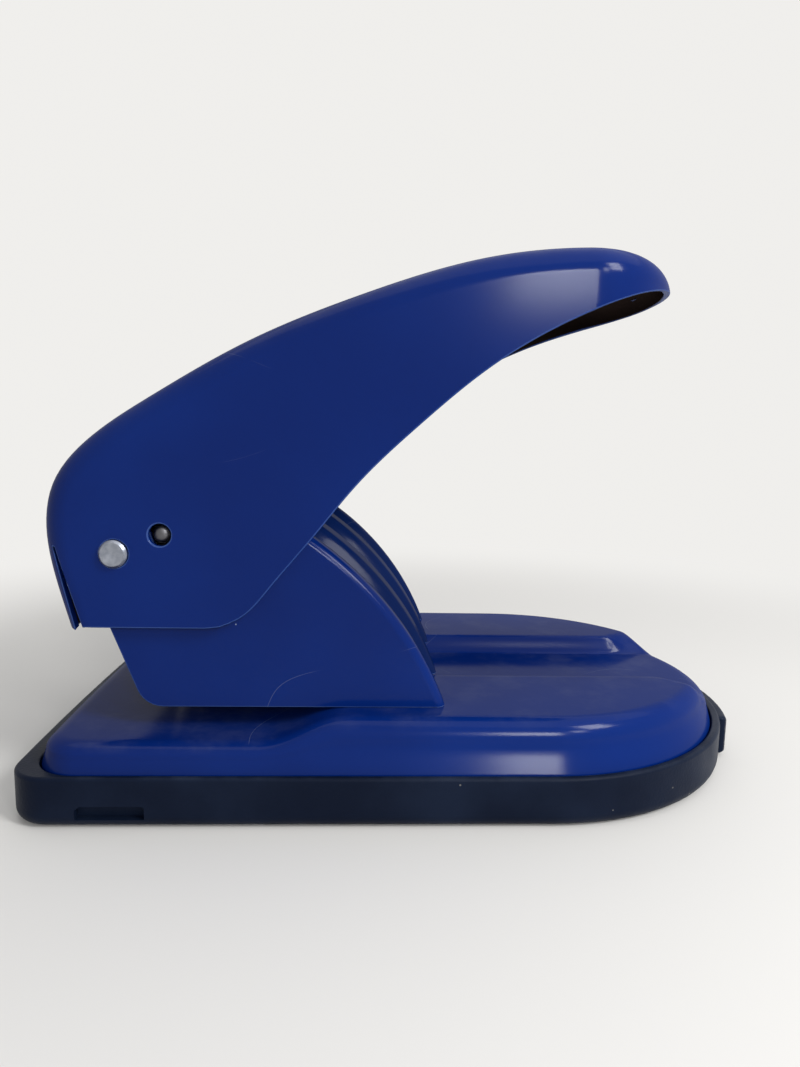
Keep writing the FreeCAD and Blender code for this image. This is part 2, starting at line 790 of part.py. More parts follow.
def make_block():
    heel = rear_x + block_heel_from_rear
    stop = punch_x + card_depth
    front = heel + block_length
    half = block_width / 2
    outline = [(heel, block_bottom_z, block_edge), (stop, block_bottom_z, 0),
               (stop, low_z, 0), (front, low_z, 0),
               (front, block_top_z, block_edge * 2), (heel, block_top_z, block_edge * 2)]
    block = side_prism(outline, -half, half)
    holes = [blade_box(blade_gap, low_z, block_top_z + 1)]
    for x, y in block_screw_places():
        holes.append(upright(large_screw, block_screw_grip + 1, x, y, low_z))
    for x, y in die_screw_places():
        holes.append(upright(small_screw, stripper_screw_grip + 1, x, y, block_bottom_z))
    return block.cut(holes).removeSplitter()


def make_block_screws():
    screws = []
    bottom = low_z - sheet
    for x, y in block_screw_places():
        shank = upright(large_screw - 2 * thread_gap, sheet + block_screw_grip + 0.5, x, y,
                        bottom - 0.5)
        head = upright(1.6 * large_screw, 0.6 * large_screw, x, y,
                       bottom - 0.6 * large_screw)
        sides = [point(0.28 * large_screw * math.cos(math.pi * k / 3) + x,
                       0.28 * large_screw * math.sin(math.pi * k / 3) + y,
                       bottom - 0.6 * large_screw) for k in range(7)]
        socket = prism(Part.makePolygon(sides), point(0, 0, 0.35 * large_screw))
        screws.append(shank.fuse(head).cut(socket).removeSplitter())
    return screws


def make_stripper():
    top = block_bottom_z
    half_x = stripper_width / 2
    half_y = stripper_length / 2 + small_screw
    front = punch_x + card_depth - side_play
    plate = box(punch_x - half_x, min(punch_x + half_x, front), -half_y, half_y,
                top - stripper_thickness, top)
    plate = plate.cut(blade_box(blade_gap * 2, low_z, block_top_z))
    for x, y in die_screw_places():
        plate = plate.cut(upright(small_screw, block_top_z, x, y, 0))
    return plate.removeSplitter()


def make_stripper_screws():
    screws = []
    bottom = block_bottom_z - stripper_thickness
    for x, y in die_screw_places():
        grip = stripper_thickness + stripper_screw_grip
        screws.append(upright(small_screw - 2 * thread_gap, grip, x, y, bottom))
    return screws


def make_blade():
    return blade_box(0, low_z + blade_rest_above_floor, head_bottom_z + head_socket)


def make_punch_head():
    head = upright(head_diameter, head_height, punch_x, 0, head_bottom_z)
    rims = [e for e in head.Edges if abs(e.BoundBox.ZMax - e.BoundBox.ZMin) < 0.01]
    head = head.makeChamfer(pin_chamfer, rims)
    head = head.cut(make_blade())
    return head.cut(make_head_pin())


def make_head_pin():
    half = head_diameter / 2 - 1
    z = head_bottom_z + head_socket / 2
    return Part.makeCylinder(head_pin_diameter / 2, 2 * half,
                             point(punch_x - half, 0, z), point(1, 0, 0))


def make_spring_seat():
    seat = upright(seat_diameter, seat_thickness, punch_x, 0, block_top_z)
    hole = upright(slot_length + 2, seat_thickness, punch_x, 0, block_top_z)
    return seat.cut(hole)


def coil_path(radius, pitch, coils, steps):
    """A helix as arcs of a quarter turn each, joined end to end."""
    edges = []
    for index in range(coils * steps):
        marks = []
        for part in (0, 0.5, 1):
            turn = (index + part) / steps
            angle = 2 * math.pi * turn
            marks.append(point(punch_x + radius * math.cos(angle),
                               radius * math.sin(angle),
                               spring_bottom_z + wire_diameter / 2 + pitch * turn))
        edges.append(Part.Arc(*marks).toShape())
    return Part.Wire(edges)


def make_spring():
    radius = (spring_diameter - wire_diameter) / 2
    space = head_bottom_z - spring_bottom_z
    pitch = (space - wire_diameter) / spring_coils
    path = coil_path(radius, pitch, spring_coils, 4)
    first = path.Edges[0]
    along = first.tangentAt(first.FirstParameter)
    ring = Part.Wire(Part.Circle(first.valueAt(first.FirstParameter), along,
                                 wire_diameter / 2).toShape())
    spring = path.makePipeShell([ring], True, False)
    print("spring gap between turns", round(pitch - wire_diameter, 2))
    return spring


def main():
    os.makedirs("parts", exist_ok=True)
    save("waste_tray", make_tray())
    save("base_plate", make_base_plate())
    save("punch_frame", make_frame())
    save("frame_rivets", *make_rivets())
    save("die_plate", make_die_plate())
    save("die_screws", *make_die_screws())
    save("punch_block", make_block())
    save("block_screws", *make_block_screws())
    save("stripper_plate", make_stripper())
    save("stripper_screws", *make_stripper_screws())
    save("punch_blade", make_blade().cut(make_head_pin()))
    save("punch_head", make_punch_head())
    save("head_pin", make_head_pin())
    save("spring_seat", make_spring_seat())
    save("return_spring", make_spring())
    save("lever", make_lever())
    save("press_bracket", make_bracket())
    save("press_pin", make_press_pin())
    save("pivot_pin", make_pivot_pin())
    save("pivot_washers", *make_washers())
    save("retaining_rings", *make_retaining_rings())
    save("pivot_spacers", *make_spacers())
    save("cross_pin", make_cross_pin())


main()
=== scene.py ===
import functools
import math

import bmesh
import bpy
import numpy as np
from mathutils import Matrix, Vector, geometry


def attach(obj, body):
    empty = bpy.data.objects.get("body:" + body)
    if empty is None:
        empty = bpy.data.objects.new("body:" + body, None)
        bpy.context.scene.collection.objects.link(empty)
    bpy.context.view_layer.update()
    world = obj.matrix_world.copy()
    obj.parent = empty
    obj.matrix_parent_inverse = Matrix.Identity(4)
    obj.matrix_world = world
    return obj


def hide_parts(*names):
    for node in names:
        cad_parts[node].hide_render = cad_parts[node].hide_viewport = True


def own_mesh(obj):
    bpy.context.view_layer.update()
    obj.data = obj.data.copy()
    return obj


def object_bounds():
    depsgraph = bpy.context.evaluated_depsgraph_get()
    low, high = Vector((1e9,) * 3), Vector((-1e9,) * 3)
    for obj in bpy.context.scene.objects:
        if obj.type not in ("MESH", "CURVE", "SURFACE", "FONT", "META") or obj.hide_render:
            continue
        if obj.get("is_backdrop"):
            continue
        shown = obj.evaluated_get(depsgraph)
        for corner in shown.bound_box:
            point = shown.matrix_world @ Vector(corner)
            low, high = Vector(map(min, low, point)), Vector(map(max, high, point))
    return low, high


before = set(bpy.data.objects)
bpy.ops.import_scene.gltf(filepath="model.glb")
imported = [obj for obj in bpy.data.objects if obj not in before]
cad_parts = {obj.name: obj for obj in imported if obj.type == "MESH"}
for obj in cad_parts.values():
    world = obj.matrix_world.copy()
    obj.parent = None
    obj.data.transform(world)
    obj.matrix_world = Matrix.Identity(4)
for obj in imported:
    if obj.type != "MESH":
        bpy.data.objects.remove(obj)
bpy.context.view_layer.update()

# Camera
# A hand-held phone's wide lens, level with the lever and a hand's length from the near side.
# The scene's lengths are metres; the piece sections below give theirs in millimetres.
MM = 0.001
camera_right = Vector((0.99911, -0.03746, 0.01924))
camera_up = Vector((-0.01399, 0.13579, 0.99064))


def furnish(thing, **settings):
    """Give a thing its settings."""
    for label, value in settings.items():
        setattr(thing, label, value)
    return thing


def put(name, data):
    """An object at the origin that holds a mesh, a camera or a lamp."""
    made = bpy.data.objects.new(name, data)
    bpy.context.collection.objects.link(made)
    return made


camera = put("camera", furnish(bpy.data.cameras.new("camera"), lens=24.97, sensor_width=36.0,
                               clip_start=0.01))
camera_back = camera_right.cross(camera_up).normalized()
camera_up = camera_back.cross(camera_right)
camera.matrix_world = Matrix.Translation((-0.01045, -0.2009, 0.08315)) @ Matrix(
    (camera_right, camera_up, camera_back)).transposed().to_4x4()
bpy.context.scene.camera = camera
bpy.context.scene.view_settings.view_transform = "Standard"


# Lamps and floor
# A pale studio floor that fades into a pale surround, a window-like lamp behind the
# camera's right shoulder, in two panes, a panel overhead and a small one from the right.
def lamp(name, place, target, width, height, watts):
    data = furnish(bpy.data.lights.new(name, "AREA"), shape="RECTANGLE", size=width,
                   size_y=height, energy=watts)
    aim = Vector(target) - Vector(place)
    furnish(put(name, data), location=place,
            rotation_euler=aim.to_track_quat("-Z", "Y").to_euler())


lamp("window_left_pane", (0.25, -0.92, 0.37), (0.02, 0.0, 0.06), 0.15, 0.20, 3.0)
lamp("window_right_pane", (0.50, -0.82, 0.50), (0.02, 0.0, 0.06), 0.10, 0.15, 1.1)
lamp("overhead_panel", (0.10, 0.10, 0.75), (0.0, 0.0, 0.05), 1.2, 1.0, 3.2)
lamp("right_panel", (0.30, -0.28, 0.34), (0.04, -0.02, 0.09), 0.12, 0.16, 1.5)

BACKDROP = (0.87, 0.86, 0.84)


def feed(tree, socket, value):
    """Link a socket to another one, or set it to a number, a vector or a colour."""
    if isinstance(value, bpy.types.NodeSocket):
        tree.links.new(value, socket)
    elif socket.type == "RGBA":
        socket.default_value = (*value, 1.0)
    else:
        socket.default_value = value


def feed_node(tree, node, **inputs):
    """Feed a node's inputs by name, with _ for a space."""
    for label, value in inputs.items():
        feed(tree, node.inputs[label.replace("_", " ")], value)
    return node


def add_node(tree, kind, output=0, settings=None, **inputs):
    """A node of a kind with its settings and its inputs fed; gives one of its outputs."""
    node = furnish(tree.nodes.new(kind), **settings or {})
    return feed_node(tree, node, **inputs).outputs[output]


def maths(tree, kind, *values, clamp=False):
    """A Math node whose inputs are sockets or numbers; gives its output socket."""
    node = furnish(tree.nodes.new("ShaderNodeMath"), operation=kind, use_clamp=clamp)
    for socket, value in zip(node.inputs, values):
        feed(tree, socket, value)
    return node.outputs[0]


def above(tree, value, low, high, curve="SMOOTHSTEP"):
    """0 below low, 1 above high, smooth between; the limits are sockets or numbers."""
    return add_node(tree, "ShaderNodeMapRange", "Result", {"interpolation_type": curve},
                    Value=value, From_Min=low, From_Max=high)


def object_coordinates(tree):
    return add_node(tree, "ShaderNodeTexCoord", "Object")


def show_mixed(tree, end, share, under, over):
    """Mix two shaders by a share and end the tree with the result."""
    node = tree.nodes.new("ShaderNodeMixShader")
    for socket, value in zip(node.inputs, (share, under, over)):
        feed(tree, socket, value)
    feed(tree, tree.nodes[end].inputs["Surface"], node.outputs[0])


def seen_directly(tree):
    """1 where a ray comes from the camera, a reflection or glass."""
    ray = tree.nodes.new("ShaderNodeLightPath").outputs
    seen = maths(tree, "MAXIMUM", ray["Is Camera Ray"], ray["Is Glossy Ray"])
    return maths(tree, "MAXIMUM", seen, ray["Is Transmission Ray"])


surround = bpy.data.worlds.new("surround")
bpy.context.scene.world = surround
surround.use_nodes = True
tree = surround.node_tree
sky = feed_node(tree, tree.nodes["Background"], Color=(0.86, 0.86, 0.86), Strength=0.34)
seen_sky = add_node(tree, "ShaderNodeBackground", Color=BACKDROP)
show_mixed(tree, "World Output", seen_directly(tree), sky.outputs[0], seen_sky)


def piece_from(name, points, faces):
    """A piece from points in millimetres, doubles merged and every face turned outwards."""
    mesh = bpy.data.meshes.new(name)
    mesh.from_pydata([Vector(place) * MM for place in points], [], faces)
    work = bmesh.new()
    work.from_mesh(mesh)
    bmesh.ops.remove_doubles(work, verts=work.verts, dist=2e-6)
    bmesh.ops.dissolve_degenerate(work, edges=work.edges, dist=1e-6)
    bmesh.ops.recalc_face_normals(work, faces=work.faces)
    work.to_mesh(mesh)
    work.free()
    return put(name, mesh)


def plain_material(name, colour, roughness, **others):
    """A material whose only shader is a Principled one, with its constant values set."""
    made = bpy.data.materials.new(name)
    made.use_nodes = True
    tree = made.node_tree
    return made, tree, feed_node(tree, tree.nodes["Principled BSDF"], Base_Color=colour,
                                 Roughness=roughness, **others)


FADE_START, FADE_END = 0.11, 0.36
floor_material, tree, shader = plain_material("pale_floor", (0.74, 0.73, 0.71), 0.8)
reach = add_node(tree, "ShaderNodeVectorMath", "Value", {"operation": "LENGTH"},
                 Vector=object_coordinates(tree))
fade = above(tree, reach, FADE_START, FADE_END, "SMOOTHERSTEP")
show_mixed(tree, "Material Output", maths(tree, "MULTIPLY", fade, seen_directly(tree)),
           shader.outputs[0], add_node(tree, "ShaderNodeEmission", Color=BACKDROP))
far = 9000
floor = piece_from("floor", [(-far, -far, 0), (far, -far, 0), (far, far, 0), (-far, far, 0)],
                   [(0, 1, 2, 3)])
floor.data.materials.append(floor_material)
floor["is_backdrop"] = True

# Waste tray
# The black rubbery moulding that wraps the foot and catches the slugs. It has a stepped
# rim that the base plate sits in, a pull tab in front and a pry slot low on the near side.
LENGTH, WIDTH, TAB_DEPTH = 173.5, 109.0, 2.0
REAR = -LENGTH / 2
HALF_WIDTH = WIDTH / 2
NOSE = REAR + LENGTH - TAB_DEPTH - HALF_WIDTH
CORNER, BULGE = 8.5, 0.8
TRAY_HEIGHT, TRAY_FLOOR, TRAY_WALL, TRAY_RIM, TRAY_LEDGE = 11.3, 2.0, 4.2, 1.6, 7.0
TRAY_EDGE, FRONT_RIM, REAR_RIM, SEAT_CORNER = 3.0, 2.2, 4.1, 10.3
SEAT_NOSE = NOSE + TRAY_RIM - FRONT_RIM
SEAT_START = REAR + REAR_RIM + BULGE + SEAT_CORNER


def blend(a, b, share):
    """A place part of the way from one place to another."""
    return tuple(p + (q - p) * share for p, q in zip(a, b))


def spread(start, end, step):
    """Evenly spaced values from start to end, both included, about one step apart."""
    count = max(1, round(abs(end - start) / step))
    return [start + (end - start) * i / count for i in range(count + 1)]


def stepped(start, *runs):
    """Values from a start on through runs, each with its own end and step."""
    values = [start]
    for end, step in runs:
        values += spread(values[-1], end, step)[1:]
    return values


def arc(centre, radius, start, end, step):
    """Places on an arc, angles in radians."""
    return [(centre[0] + radius * math.cos(a), centre[1] + radius * math.sin(a))
            for a in spread(start, end, step)]


def arc_points(centre, radius, start, end, steps):
    """Places on an arc of so many equal steps, angles in degrees."""
    start, end = math.radians(start), math.radians(end)
    return arc(centre, radius, start, end, abs(end - start) / steps)


def plan_ring(side, front, rear, corner, side_xs, front_angles):
    """A D-shaped plan by its insets and corner radius, in points that match plan to plan."""
    half = HALF_WIDTH - side
    centre_x = NOSE + side - front
    corner_x = REAR + rear + BULGE + corner
    corner_y = half - corner
    ring = [(centre_x + half * math.cos(a), half * math.sin(a)) for a in front_angles]
    ring += [(x, half) for x in reversed(side_xs)][1:]
    top = arc((corner_x, corner_y), corner, math.pi / 2, math.pi, math.radians(6))[1:]
    bow = (corner_y ** 2 + BULGE ** 2) / (2 * BULGE)
    lean = math.asin(corner_y / bow)
    bowed = [(REAR + rear + bow - bow * math.cos(a), bow * math.sin(a))
             for a in spread(lean, -lean, lean / 11)[1:-1]]
    ring += top + bowed + [(x, -y) for x, y in reversed(top)]
    ring += [(x, -half) for x in side_xs][:-1]
    return ring


def side_places(start, end):
    return spread(start, end, (end - start) / 30)


def tray_ring(inset, front_angles):
    """The tray's outer plan, inset all round."""
    return plan_ring(inset, inset, inset, CORNER - inset,
                     side_places(REAR + BULGE + CORNER, NOSE), front_angles)


def seat_ring(depth, front_angles, side_xs=None):
    """The plan of the seat that the base plate sits in, depth mm inside its edge."""
    return plan_ring(TRAY_RIM + depth, FRONT_RIM + depth, REAR_RIM + depth,
                     SEAT_CORNER - depth, side_xs or side_places(SEAT_START, SEAT_NOSE),
                     front_angles)


def quads(rows):
    """Faces between rows of point numbers."""
    return [(a, b, d, c) for first, second in zip(rows, rows[1:])
            for a, b, c, d in zip(first, first[1:], second, second[1:])]


def swept(rings, close_ends):
    """Points and faces of rings joined one to the next, with flat ends if wanted."""
    count = len(rings[0])
    rows = [tuple(range(row * count, (row + 1) * count)) for row in range(len(rings))]
    faces = quads([row + row[:1] for row in rows])
    if close_ends:
        faces += [rows[0], rows[-1]]
    return [place for ring in rings for place in ring], faces


def settle(piece):
    """Turn a piece's modifiers into its own mesh."""
    graph = bpy.context.evaluated_depsgraph_get()
    mesh = bpy.data.meshes.new_from_object(piece.evaluated_get(graph))
    piece.modifiers.clear()
    piece.data = mesh


def level_ring(outline, level, axis="z"):
    """An outline's places at a level: (x, y) pairs along z, or (x, z) pairs along y."""
    return [(a, b, level) if axis == "z" else (a, level, b) for a, b in outline]


def prism(outline, low, high, axis="y"):
    return swept([level_ring(outline, low, axis), level_ring(outline, high, axis)], True)


def block(x0, x1, y0, y1, z0, z1):
    return prism([(x0, y0), (x1, y0), (x1, y1), (x0, y1)], z0, z1, "z")


def disc(x, other, radius, steps=40):
    return arc((x, other), radius, 0.0, 2 * math.pi, 2 * math.pi / steps)[:-1]


def turned(profile, spot, axis="z", steps=40, hollow=False):
    """A lathe shape from (level, radius) rows round a spot; hollow closes as a ring."""
    rings = [level_ring(disc(*spot, radius, steps), level, axis) for level, radius in profile]
    return swept(rings + rings[:1] if hollow else rings, not hollow)


def combine(piece, solids, operation):
    """Cut solids from a piece, or join them to it, and keep the result as its mesh."""
    points, faces = [], []
    for more_points, more_faces in solids:
        base = len(points)
        points += more_points
        faces += [tuple(base + i for i in face) for face in more_faces]
    tool = piece_from("tool", points, faces)
    furnish(piece.modifiers.new("combine", "BOOLEAN"), operation=operation, solver="EXACT",
            object=tool)
    settle(piece)
    bpy.data.objects.remove(tool)


def thicken(piece, inside_slot=0, rim_slot=0):
    """Give a skin its sheet thickness, inwards."""
    furnish(piece.modifiers.new("sheet", "SOLIDIFY"), thickness=SHEET * MM, offset=-1.0,
            use_even_offset=True, material_offset=inside_slot, material_offset_rim=rim_slot)
    settle(piece)


def fill_slots(piece, *materials):
    piece.data.materials.clear()
    for material in materials:
        piece.data.materials.append(material)


def fit_in(piece, body, node):
    """Let a piece ride on its body in its node's place."""
    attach(piece, body)
    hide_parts(node)


def finish_edges(piece, width, worn_highlight_slot=-1, angle=40, clamped=False):
    """Round a piece's sharp edges, or keep them sharp, and shade the rest smooth."""
    angle = math.radians(angle)
    for face in piece.data.polygons:
        face.use_smooth = True
    if width > 0:
        # The bevels take the material in this slot; on the frame and lever that is the paler
        # edge copy, partly wear and partly a painted highlight.
        furnish(piece.modifiers.new("soften", "BEVEL"), width=width * MM, segments=2,
                limit_method="ANGLE", angle_limit=angle, use_clamp_overlap=clamped,
                miter_outer="MITER_ARC", material=worn_highlight_slot)
    else:
        piece.data.set_sharp_from_angle(angle=angle)
    furnish(piece.modifiers.new("shade", "WEIGHTED_NORMAL"), keep_sharp=True, weight=60)


front_angles = spread(-math.pi / 2, math.pi / 2, math.radians(2.5))
wall = TRAY_WALL - TRAY_RIM
seat = [(wall + 1.0, TRAY_FLOOR), (wall + 0.5, TRAY_FLOOR + 0.13),
        (wall + 0.13, TRAY_FLOOR + 0.5), (wall, TRAY_FLOOR + 1.0),
        (wall, TRAY_LEDGE - 0.4), (wall - 0.4, TRAY_LEDGE), (0.3, TRAY_LEDGE),
        (0.0, TRAY_LEDGE + 0.3)]
seat += arc_points((-0.5, TRAY_HEIGHT - 0.5), 0.5, 0, 90, 4)
skirt = arc_points((0.8, TRAY_HEIGHT - 0.8), 0.8, 90, 180, 6) + [(0.0, 7.0)]
skirt += arc_points((TRAY_EDGE, TRAY_EDGE), TRAY_EDGE, 180, 270, 8)
rings = [level_ring(seat_ring(depth, front_angles), z) for depth, z in seat]
rings += [level_ring(tray_ring(inset, front_angles), z) for inset, z in skirt]
waste_tray = piece_from("waste_tray_moulding", *swept(rings, True))
tab_low, tab_high, tab_half = 0.8, 10.8, 19.0
tab_end = math.asin(tab_half / (HALF_WIDTH + TAB_DEPTH))
tab_rows = [(-tab_end + shift / HALF_WIDTH, shrink)
            for shift, shrink in ((0.0, 1.1), (0.35, 0.4), (1.1, 0.0))]
tab_rows += [(a, 0.0) for a in spread(-tab_end + 0.04, tab_end - 0.04, 0.05)]
tab_rows += [(-a, shrink) for a, shrink in reversed(tab_rows[:3])]
rings = []
for turn, shrink in tab_rows:
    outer = HALF_WIDTH + TAB_DEPTH - shrink
    z0, z1 = tab_low + 0.3 * shrink, tab_high - 0.3 * shrink
    outline = [(HALF_WIDTH - 2.0, z0)]
    outline += arc_points((outer - 1.1, z0 + 1.1), 1.1, 270, 360, 5)
    outline += arc_points((outer - 1.1, z1 - 1.1), 1.1, 0, 90, 5)
    outline += [(HALF_WIDTH - 0.1, z1), (HALF_WIDTH - 0.5, z1 - 0.5),
                (HALF_WIDTH - 2.0, z1 - 0.5)]
    rings.append([(NOSE + r * math.cos(turn), r * math.sin(turn), z) for r, z in outline])
combine(waste_tray, [swept(rings, True)], "UNION")
slot_start, slot_end = REAR + 15.7, REAR + 30.0
slot = [(slot_start, 2.1), (slot_end, 2.1), (slot_end, 4.7), (slot_end - 0.4, 5.1),
        (slot_start + 1.2, 5.1), (slot_start, 4.3)]
combine(waste_tray, [prism(slot, -HALF_WIDTH - 1, -HALF_WIDTH + TRAY_WALL / 2)], "DIFFERENCE")
finish_edges(waste_tray, 0, angle=35)


def noise(tree, where, scale, detail=2.0, roughness=0.5, stretch=None):
    """A Noise texture's value on given coordinates, turned and stretched if wanted."""
    if stretch:
        where = add_node(tree, "ShaderNodeMapping", Vector=where, Rotation=stretch[0],
                         Scale=stretch[1])
    return add_node(tree, "ShaderNodeTexNoise", "Fac", Vector=where, Scale=scale,
                    Detail=detail, Roughness=roughness)


def tinted(tree, mask, under, over):
    """A colour mixed by a mask; each colour is a socket or three numbers."""
    node = tree.nodes.new("ShaderNodeMix")
    node.data_type = "RGBA"
    feed(tree, node.inputs["Factor"], mask)
    colours = [socket for socket in node.inputs if socket.type == "RGBA"]
    for socket, value in zip(colours, (under, over)):
        feed(tree, socket, value)
    return [socket for socket in node.outputs if socket.type == "RGBA"][0]


def use_group(tree, group, **values):
    """Place a node group's effect in a material, with this material's own values."""
    return add_node(tree, "ShaderNodeGroup", "Mask", {"node_tree": group}, **values)


def bumped(tree, shader, height, strength, distance):
    """Drive a shader's normal from a height."""
    feed_node(tree, shader, Normal=add_node(tree, "ShaderNodeBump", Height=height,
                                            Strength=strength, Distance=distance))


def node_group(kind, name, **inputs):
    """A group with named inputs that gives a mask or a shape; its inputs, end and maths."""
    made = bpy.data.node_groups.new(name, kind + "NodeTree")
    kinds = {int: "Int", float: "Float", tuple: "Vector", type(None): "Material"}

    def add_socket(label, in_out, sort):
        return made.interface.new_socket(label, in_out=in_out, socket_type="NodeSocket" + sort)

    if kind == "Geometry":
        add_socket("Geometry", "INPUT", "Geometry")
        add_socket("Geometry", "OUTPUT", "Geometry")
    else:
        add_socket("Mask", "OUTPUT", "Float")
    for label, value in inputs.items():
        socket = add_socket(label.replace("_", " "), "INPUT", kinds[type(value)])
        if value is not None:
            socket.default_value = value
    return (made, made.nodes.new("NodeGroupInput").outputs,
            made.nodes.new("NodeGroupOutput"), functools.partial(maths, made))


specks, given, end, calc = node_group("Shader", "specks", Cell_size=250.0, Share=0.12,
                                      Size=0.1)
cells = feed_node(specks, specks.nodes.new("ShaderNodeTexVoronoi"),
                  Vector=object_coordinates(specks), Scale=given["Cell size"])
pick = feed_node(specks, specks.nodes.new("ShaderNodeSeparateColor"),
                 Color=cells.outputs["Color"])
chosen = calc("LESS_THAN", pick.outputs[0], given["Share"])
inside = calc("LESS_THAN", cells.outputs["Distance"],
              calc("MULTIPLY", given["Size"], pick.outputs[1]))
feed_node(specks, end, Mask=calc("MULTIPLY", chosen, inside))

dust, given, end, calc = node_group("Shader", "dust", Amount=0.5, Scale=60.0)
up = add_node(dust, "ShaderNodeSeparateXYZ", "Z",
              Vector=add_node(dust, "ShaderNodeTexCoord", "Normal"))
patches = noise(dust, object_coordinates(dust), given["Scale"], 5.0, 0.65)
settled = calc("MULTIPLY", above(dust, up, 0.3, 1.0), above(dust, patches, 0.42, 0.75))
feed_node(dust, end, Mask=calc("MULTIPLY", settled, given["Amount"], clamp=True))

black_rubber, tree, shader = plain_material("black_rubber", (0.010, 0.012, 0.018), 0.45,
                                            Specular_IOR_Level=0.07)
where = object_coordinates(tree)
lint = use_group(tree, specks, Cell_size=330.0, Share=0.10, Size=0.13)
film = use_group(tree, dust, Amount=0.45, Scale=70.0)
# The blue in these base colours is a painted reflection; the moulding itself is black.
colour = tinted(tree, above(tree, noise(tree, where, 35.0, 4.0), 0.35, 0.7),
                (0.0028, 0.0060, 0.017), (0.0065, 0.0120, 0.029))
colour = tinted(tree, film, colour, (0.030, 0.040, 0.065))
colour = tinted(tree, lint, colour, (0.12, 0.12, 0.12))
rough = maths(tree, "MULTIPLY_ADD", noise(tree, where, 120.0, 3.0), 0.25, 0.30)
feed_node(tree, shader, Base_Color=colour, Roughness=rough)
bumped(tree, shader, noise(tree, where, 1500.0), 0.25, 0.0002)
fill_slots(waste_tray, black_rubber)
fit_in(waste_tray, "tray", "waste_tray")

# Base plate
# One pressing of 1.5 mm steel in blue enamel: a low floor at the rear, an S-shaped step up
# to two high bands, the channel between them, and all edges drawn down into the tray.
SHEET = 1.5
PLATE_GAP = 0.3
PLATE_BOTTOM = TRAY_LEDGE + 0.3
LOW, HIGH, EDGE_BEND = 17.0, 22.0, 4.0
STEP_START, STEP_LENGTH = REAR + 53.3, 18.5
CHANNEL_FOOT, CHANNEL_TOP = 16.3, 19.3
SPILL, SPILL_DEPTH = 9.0, 15.0
FLARE, FLARE_HIGH, FLARE_LOW, FLARE_RISE, FLARE_RISE_HIGH = 1.0, 2.3, 10.8, 3.4, 5.8
INNER = 6.8
PUNCH_X = REAR + 41.8


def plate_margin(x, y):
    """How far a place lies inside the plate's outline."""
    half = HALF_WIDTH - TRAY_RIM - PLATE_GAP
    if x > SEAT_NOSE:
        return half - math.hypot(x - SEAT_NOSE, y)
    rear = REAR + REAR_RIM + PLATE_GAP
    corner = SEAT_CORNER - PLATE_GAP
    corner_x, corner_y = rear + BULGE + corner, half - corner
    if x < corner_x and abs(y) > corner_y:
        return corner - math.hypot(x - corner_x, abs(y) - corner_y)
    return min(half - abs(y), x - rear - BULGE * (y / corner_y) ** 2)


def smooth_share(value):
    """A value held between 0 and 1 and eased at both ends."""
    share = min(1.0, max(0.0, value))
    return share * share * (3 - 2 * share)


def plate_height(x, y):
    """The pressed form's height before its outer edge bends down."""
    along = min(1.0, max(0.0, (x - STEP_START) / STEP_LENGTH))
    spill = 0.0
    if x > SEAT_NOSE:
        spill = SPILL * smooth_share(1 - plate_margin(x, y) / SPILL_DEPTH)
    across = smooth_share((abs(y) - CHANNEL_FOOT) / (CHANNEL_TOP + spill - CHANNEL_FOOT))
    return LOW + (HIGH - LOW) * (0.5 - 0.5 * math.cos(math.pi * along)) * across


turn_low, turn_high, fine, coarse = map(math.radians, (17.0, 33.0, 0.6, 2.5))
front_angles = stepped(-math.pi / 2, (-turn_high, coarse), (-turn_low, fine),
                       (turn_low, math.radians(2.4)), (turn_high, fine), (math.pi / 2, coarse))
STEP_END = STEP_START + STEP_LENGTH
side_xs = stepped(SEAT_START, (STEP_START - 1, 2.5), (STEP_END + 1, 1.0), (SEAT_NOSE, 2.5))
inner = seat_ring(PLATE_GAP + INNER, front_angles, side_xs)
lifts = [(plate_height(x, y) - LOW) / (HIGH - LOW) for x, y in inner]


def flare_rise(lift):
    return FLARE_RISE + (FLARE_RISE_HIGH - FLARE_RISE) * lift


def skirt_ring(share, inset=0.0):
    """A plan of the plate's flared skirt, which leans in more beside the high bands."""
    low = seat_ring(PLATE_GAP + FLARE * share + inset, front_angles, side_xs)
    high = seat_ring(PLATE_GAP + FLARE_HIGH * share + inset, front_angles, side_xs)
    return [(*blend(a, b, lift), lift) for a, b, lift in zip(low, high, lifts)]


rings = [level_ring(seat_ring(PLATE_GAP, front_angles, side_xs), PLATE_BOTTOM)]
for share in (0.0, 0.1, 0.35, 0.6, 0.85):
    rings.append([(x, y, FLARE_LOW + flare_rise(lift) * share)
                  for x, y, lift in skirt_ring(share)])
for a in spread(math.pi / 2, 0.0, math.radians(10)):
    ring = []
    for x, y, lift in skirt_ring(1.0, EDGE_BEND * (1 - math.sin(a))):
        top = plate_height(x, y)
        fall = min(top - FLARE_LOW - flare_rise(lift), EDGE_BEND * (1.0 + 0.25 * lift))
        ring.append((x, y, top - fall * (1.0 - math.cos(a))))
    rings.append(ring)
rings.append([(x, y, plate_height(x, y)) for x, y in inner])
points, faces = swept(rings, False)
DIE_HALF_X, DIE_HALF_Y = 4.05, 10.05
rows = stepped(0.0, (DIE_HALF_Y, 5.0), (CHANNEL_FOOT, 3.8), (CHANNEL_TOP, 0.3), (28.0, 1.1),
               (50.0, 4.2))
across = sorted({round(side * y, 3) for side in (-1, 1) for y in rows})
die_front = PUNCH_X + DIE_HALF_X
along = stepped(-83.0, (PUNCH_X - DIE_HALF_X, 4.0)) + [die_front]
along += stepped(die_front + 2, (STEP_START, 2.8), (STEP_END, 1.1), (56.0, 4.0), (82.0, 1.3))
flat = [Vector((x, y)) for x, y in inner]
flat += [Vector((x, y)) for x in along for y in across if plate_margin(x, y) > INNER + 1.0]
found = geometry.delaunay_2d_cdt(flat, [], [], 0, 1e-7)
base = len(points)
points += [(p.x, p.y, plate_height(p.x, p.y)) for p in found[0]]
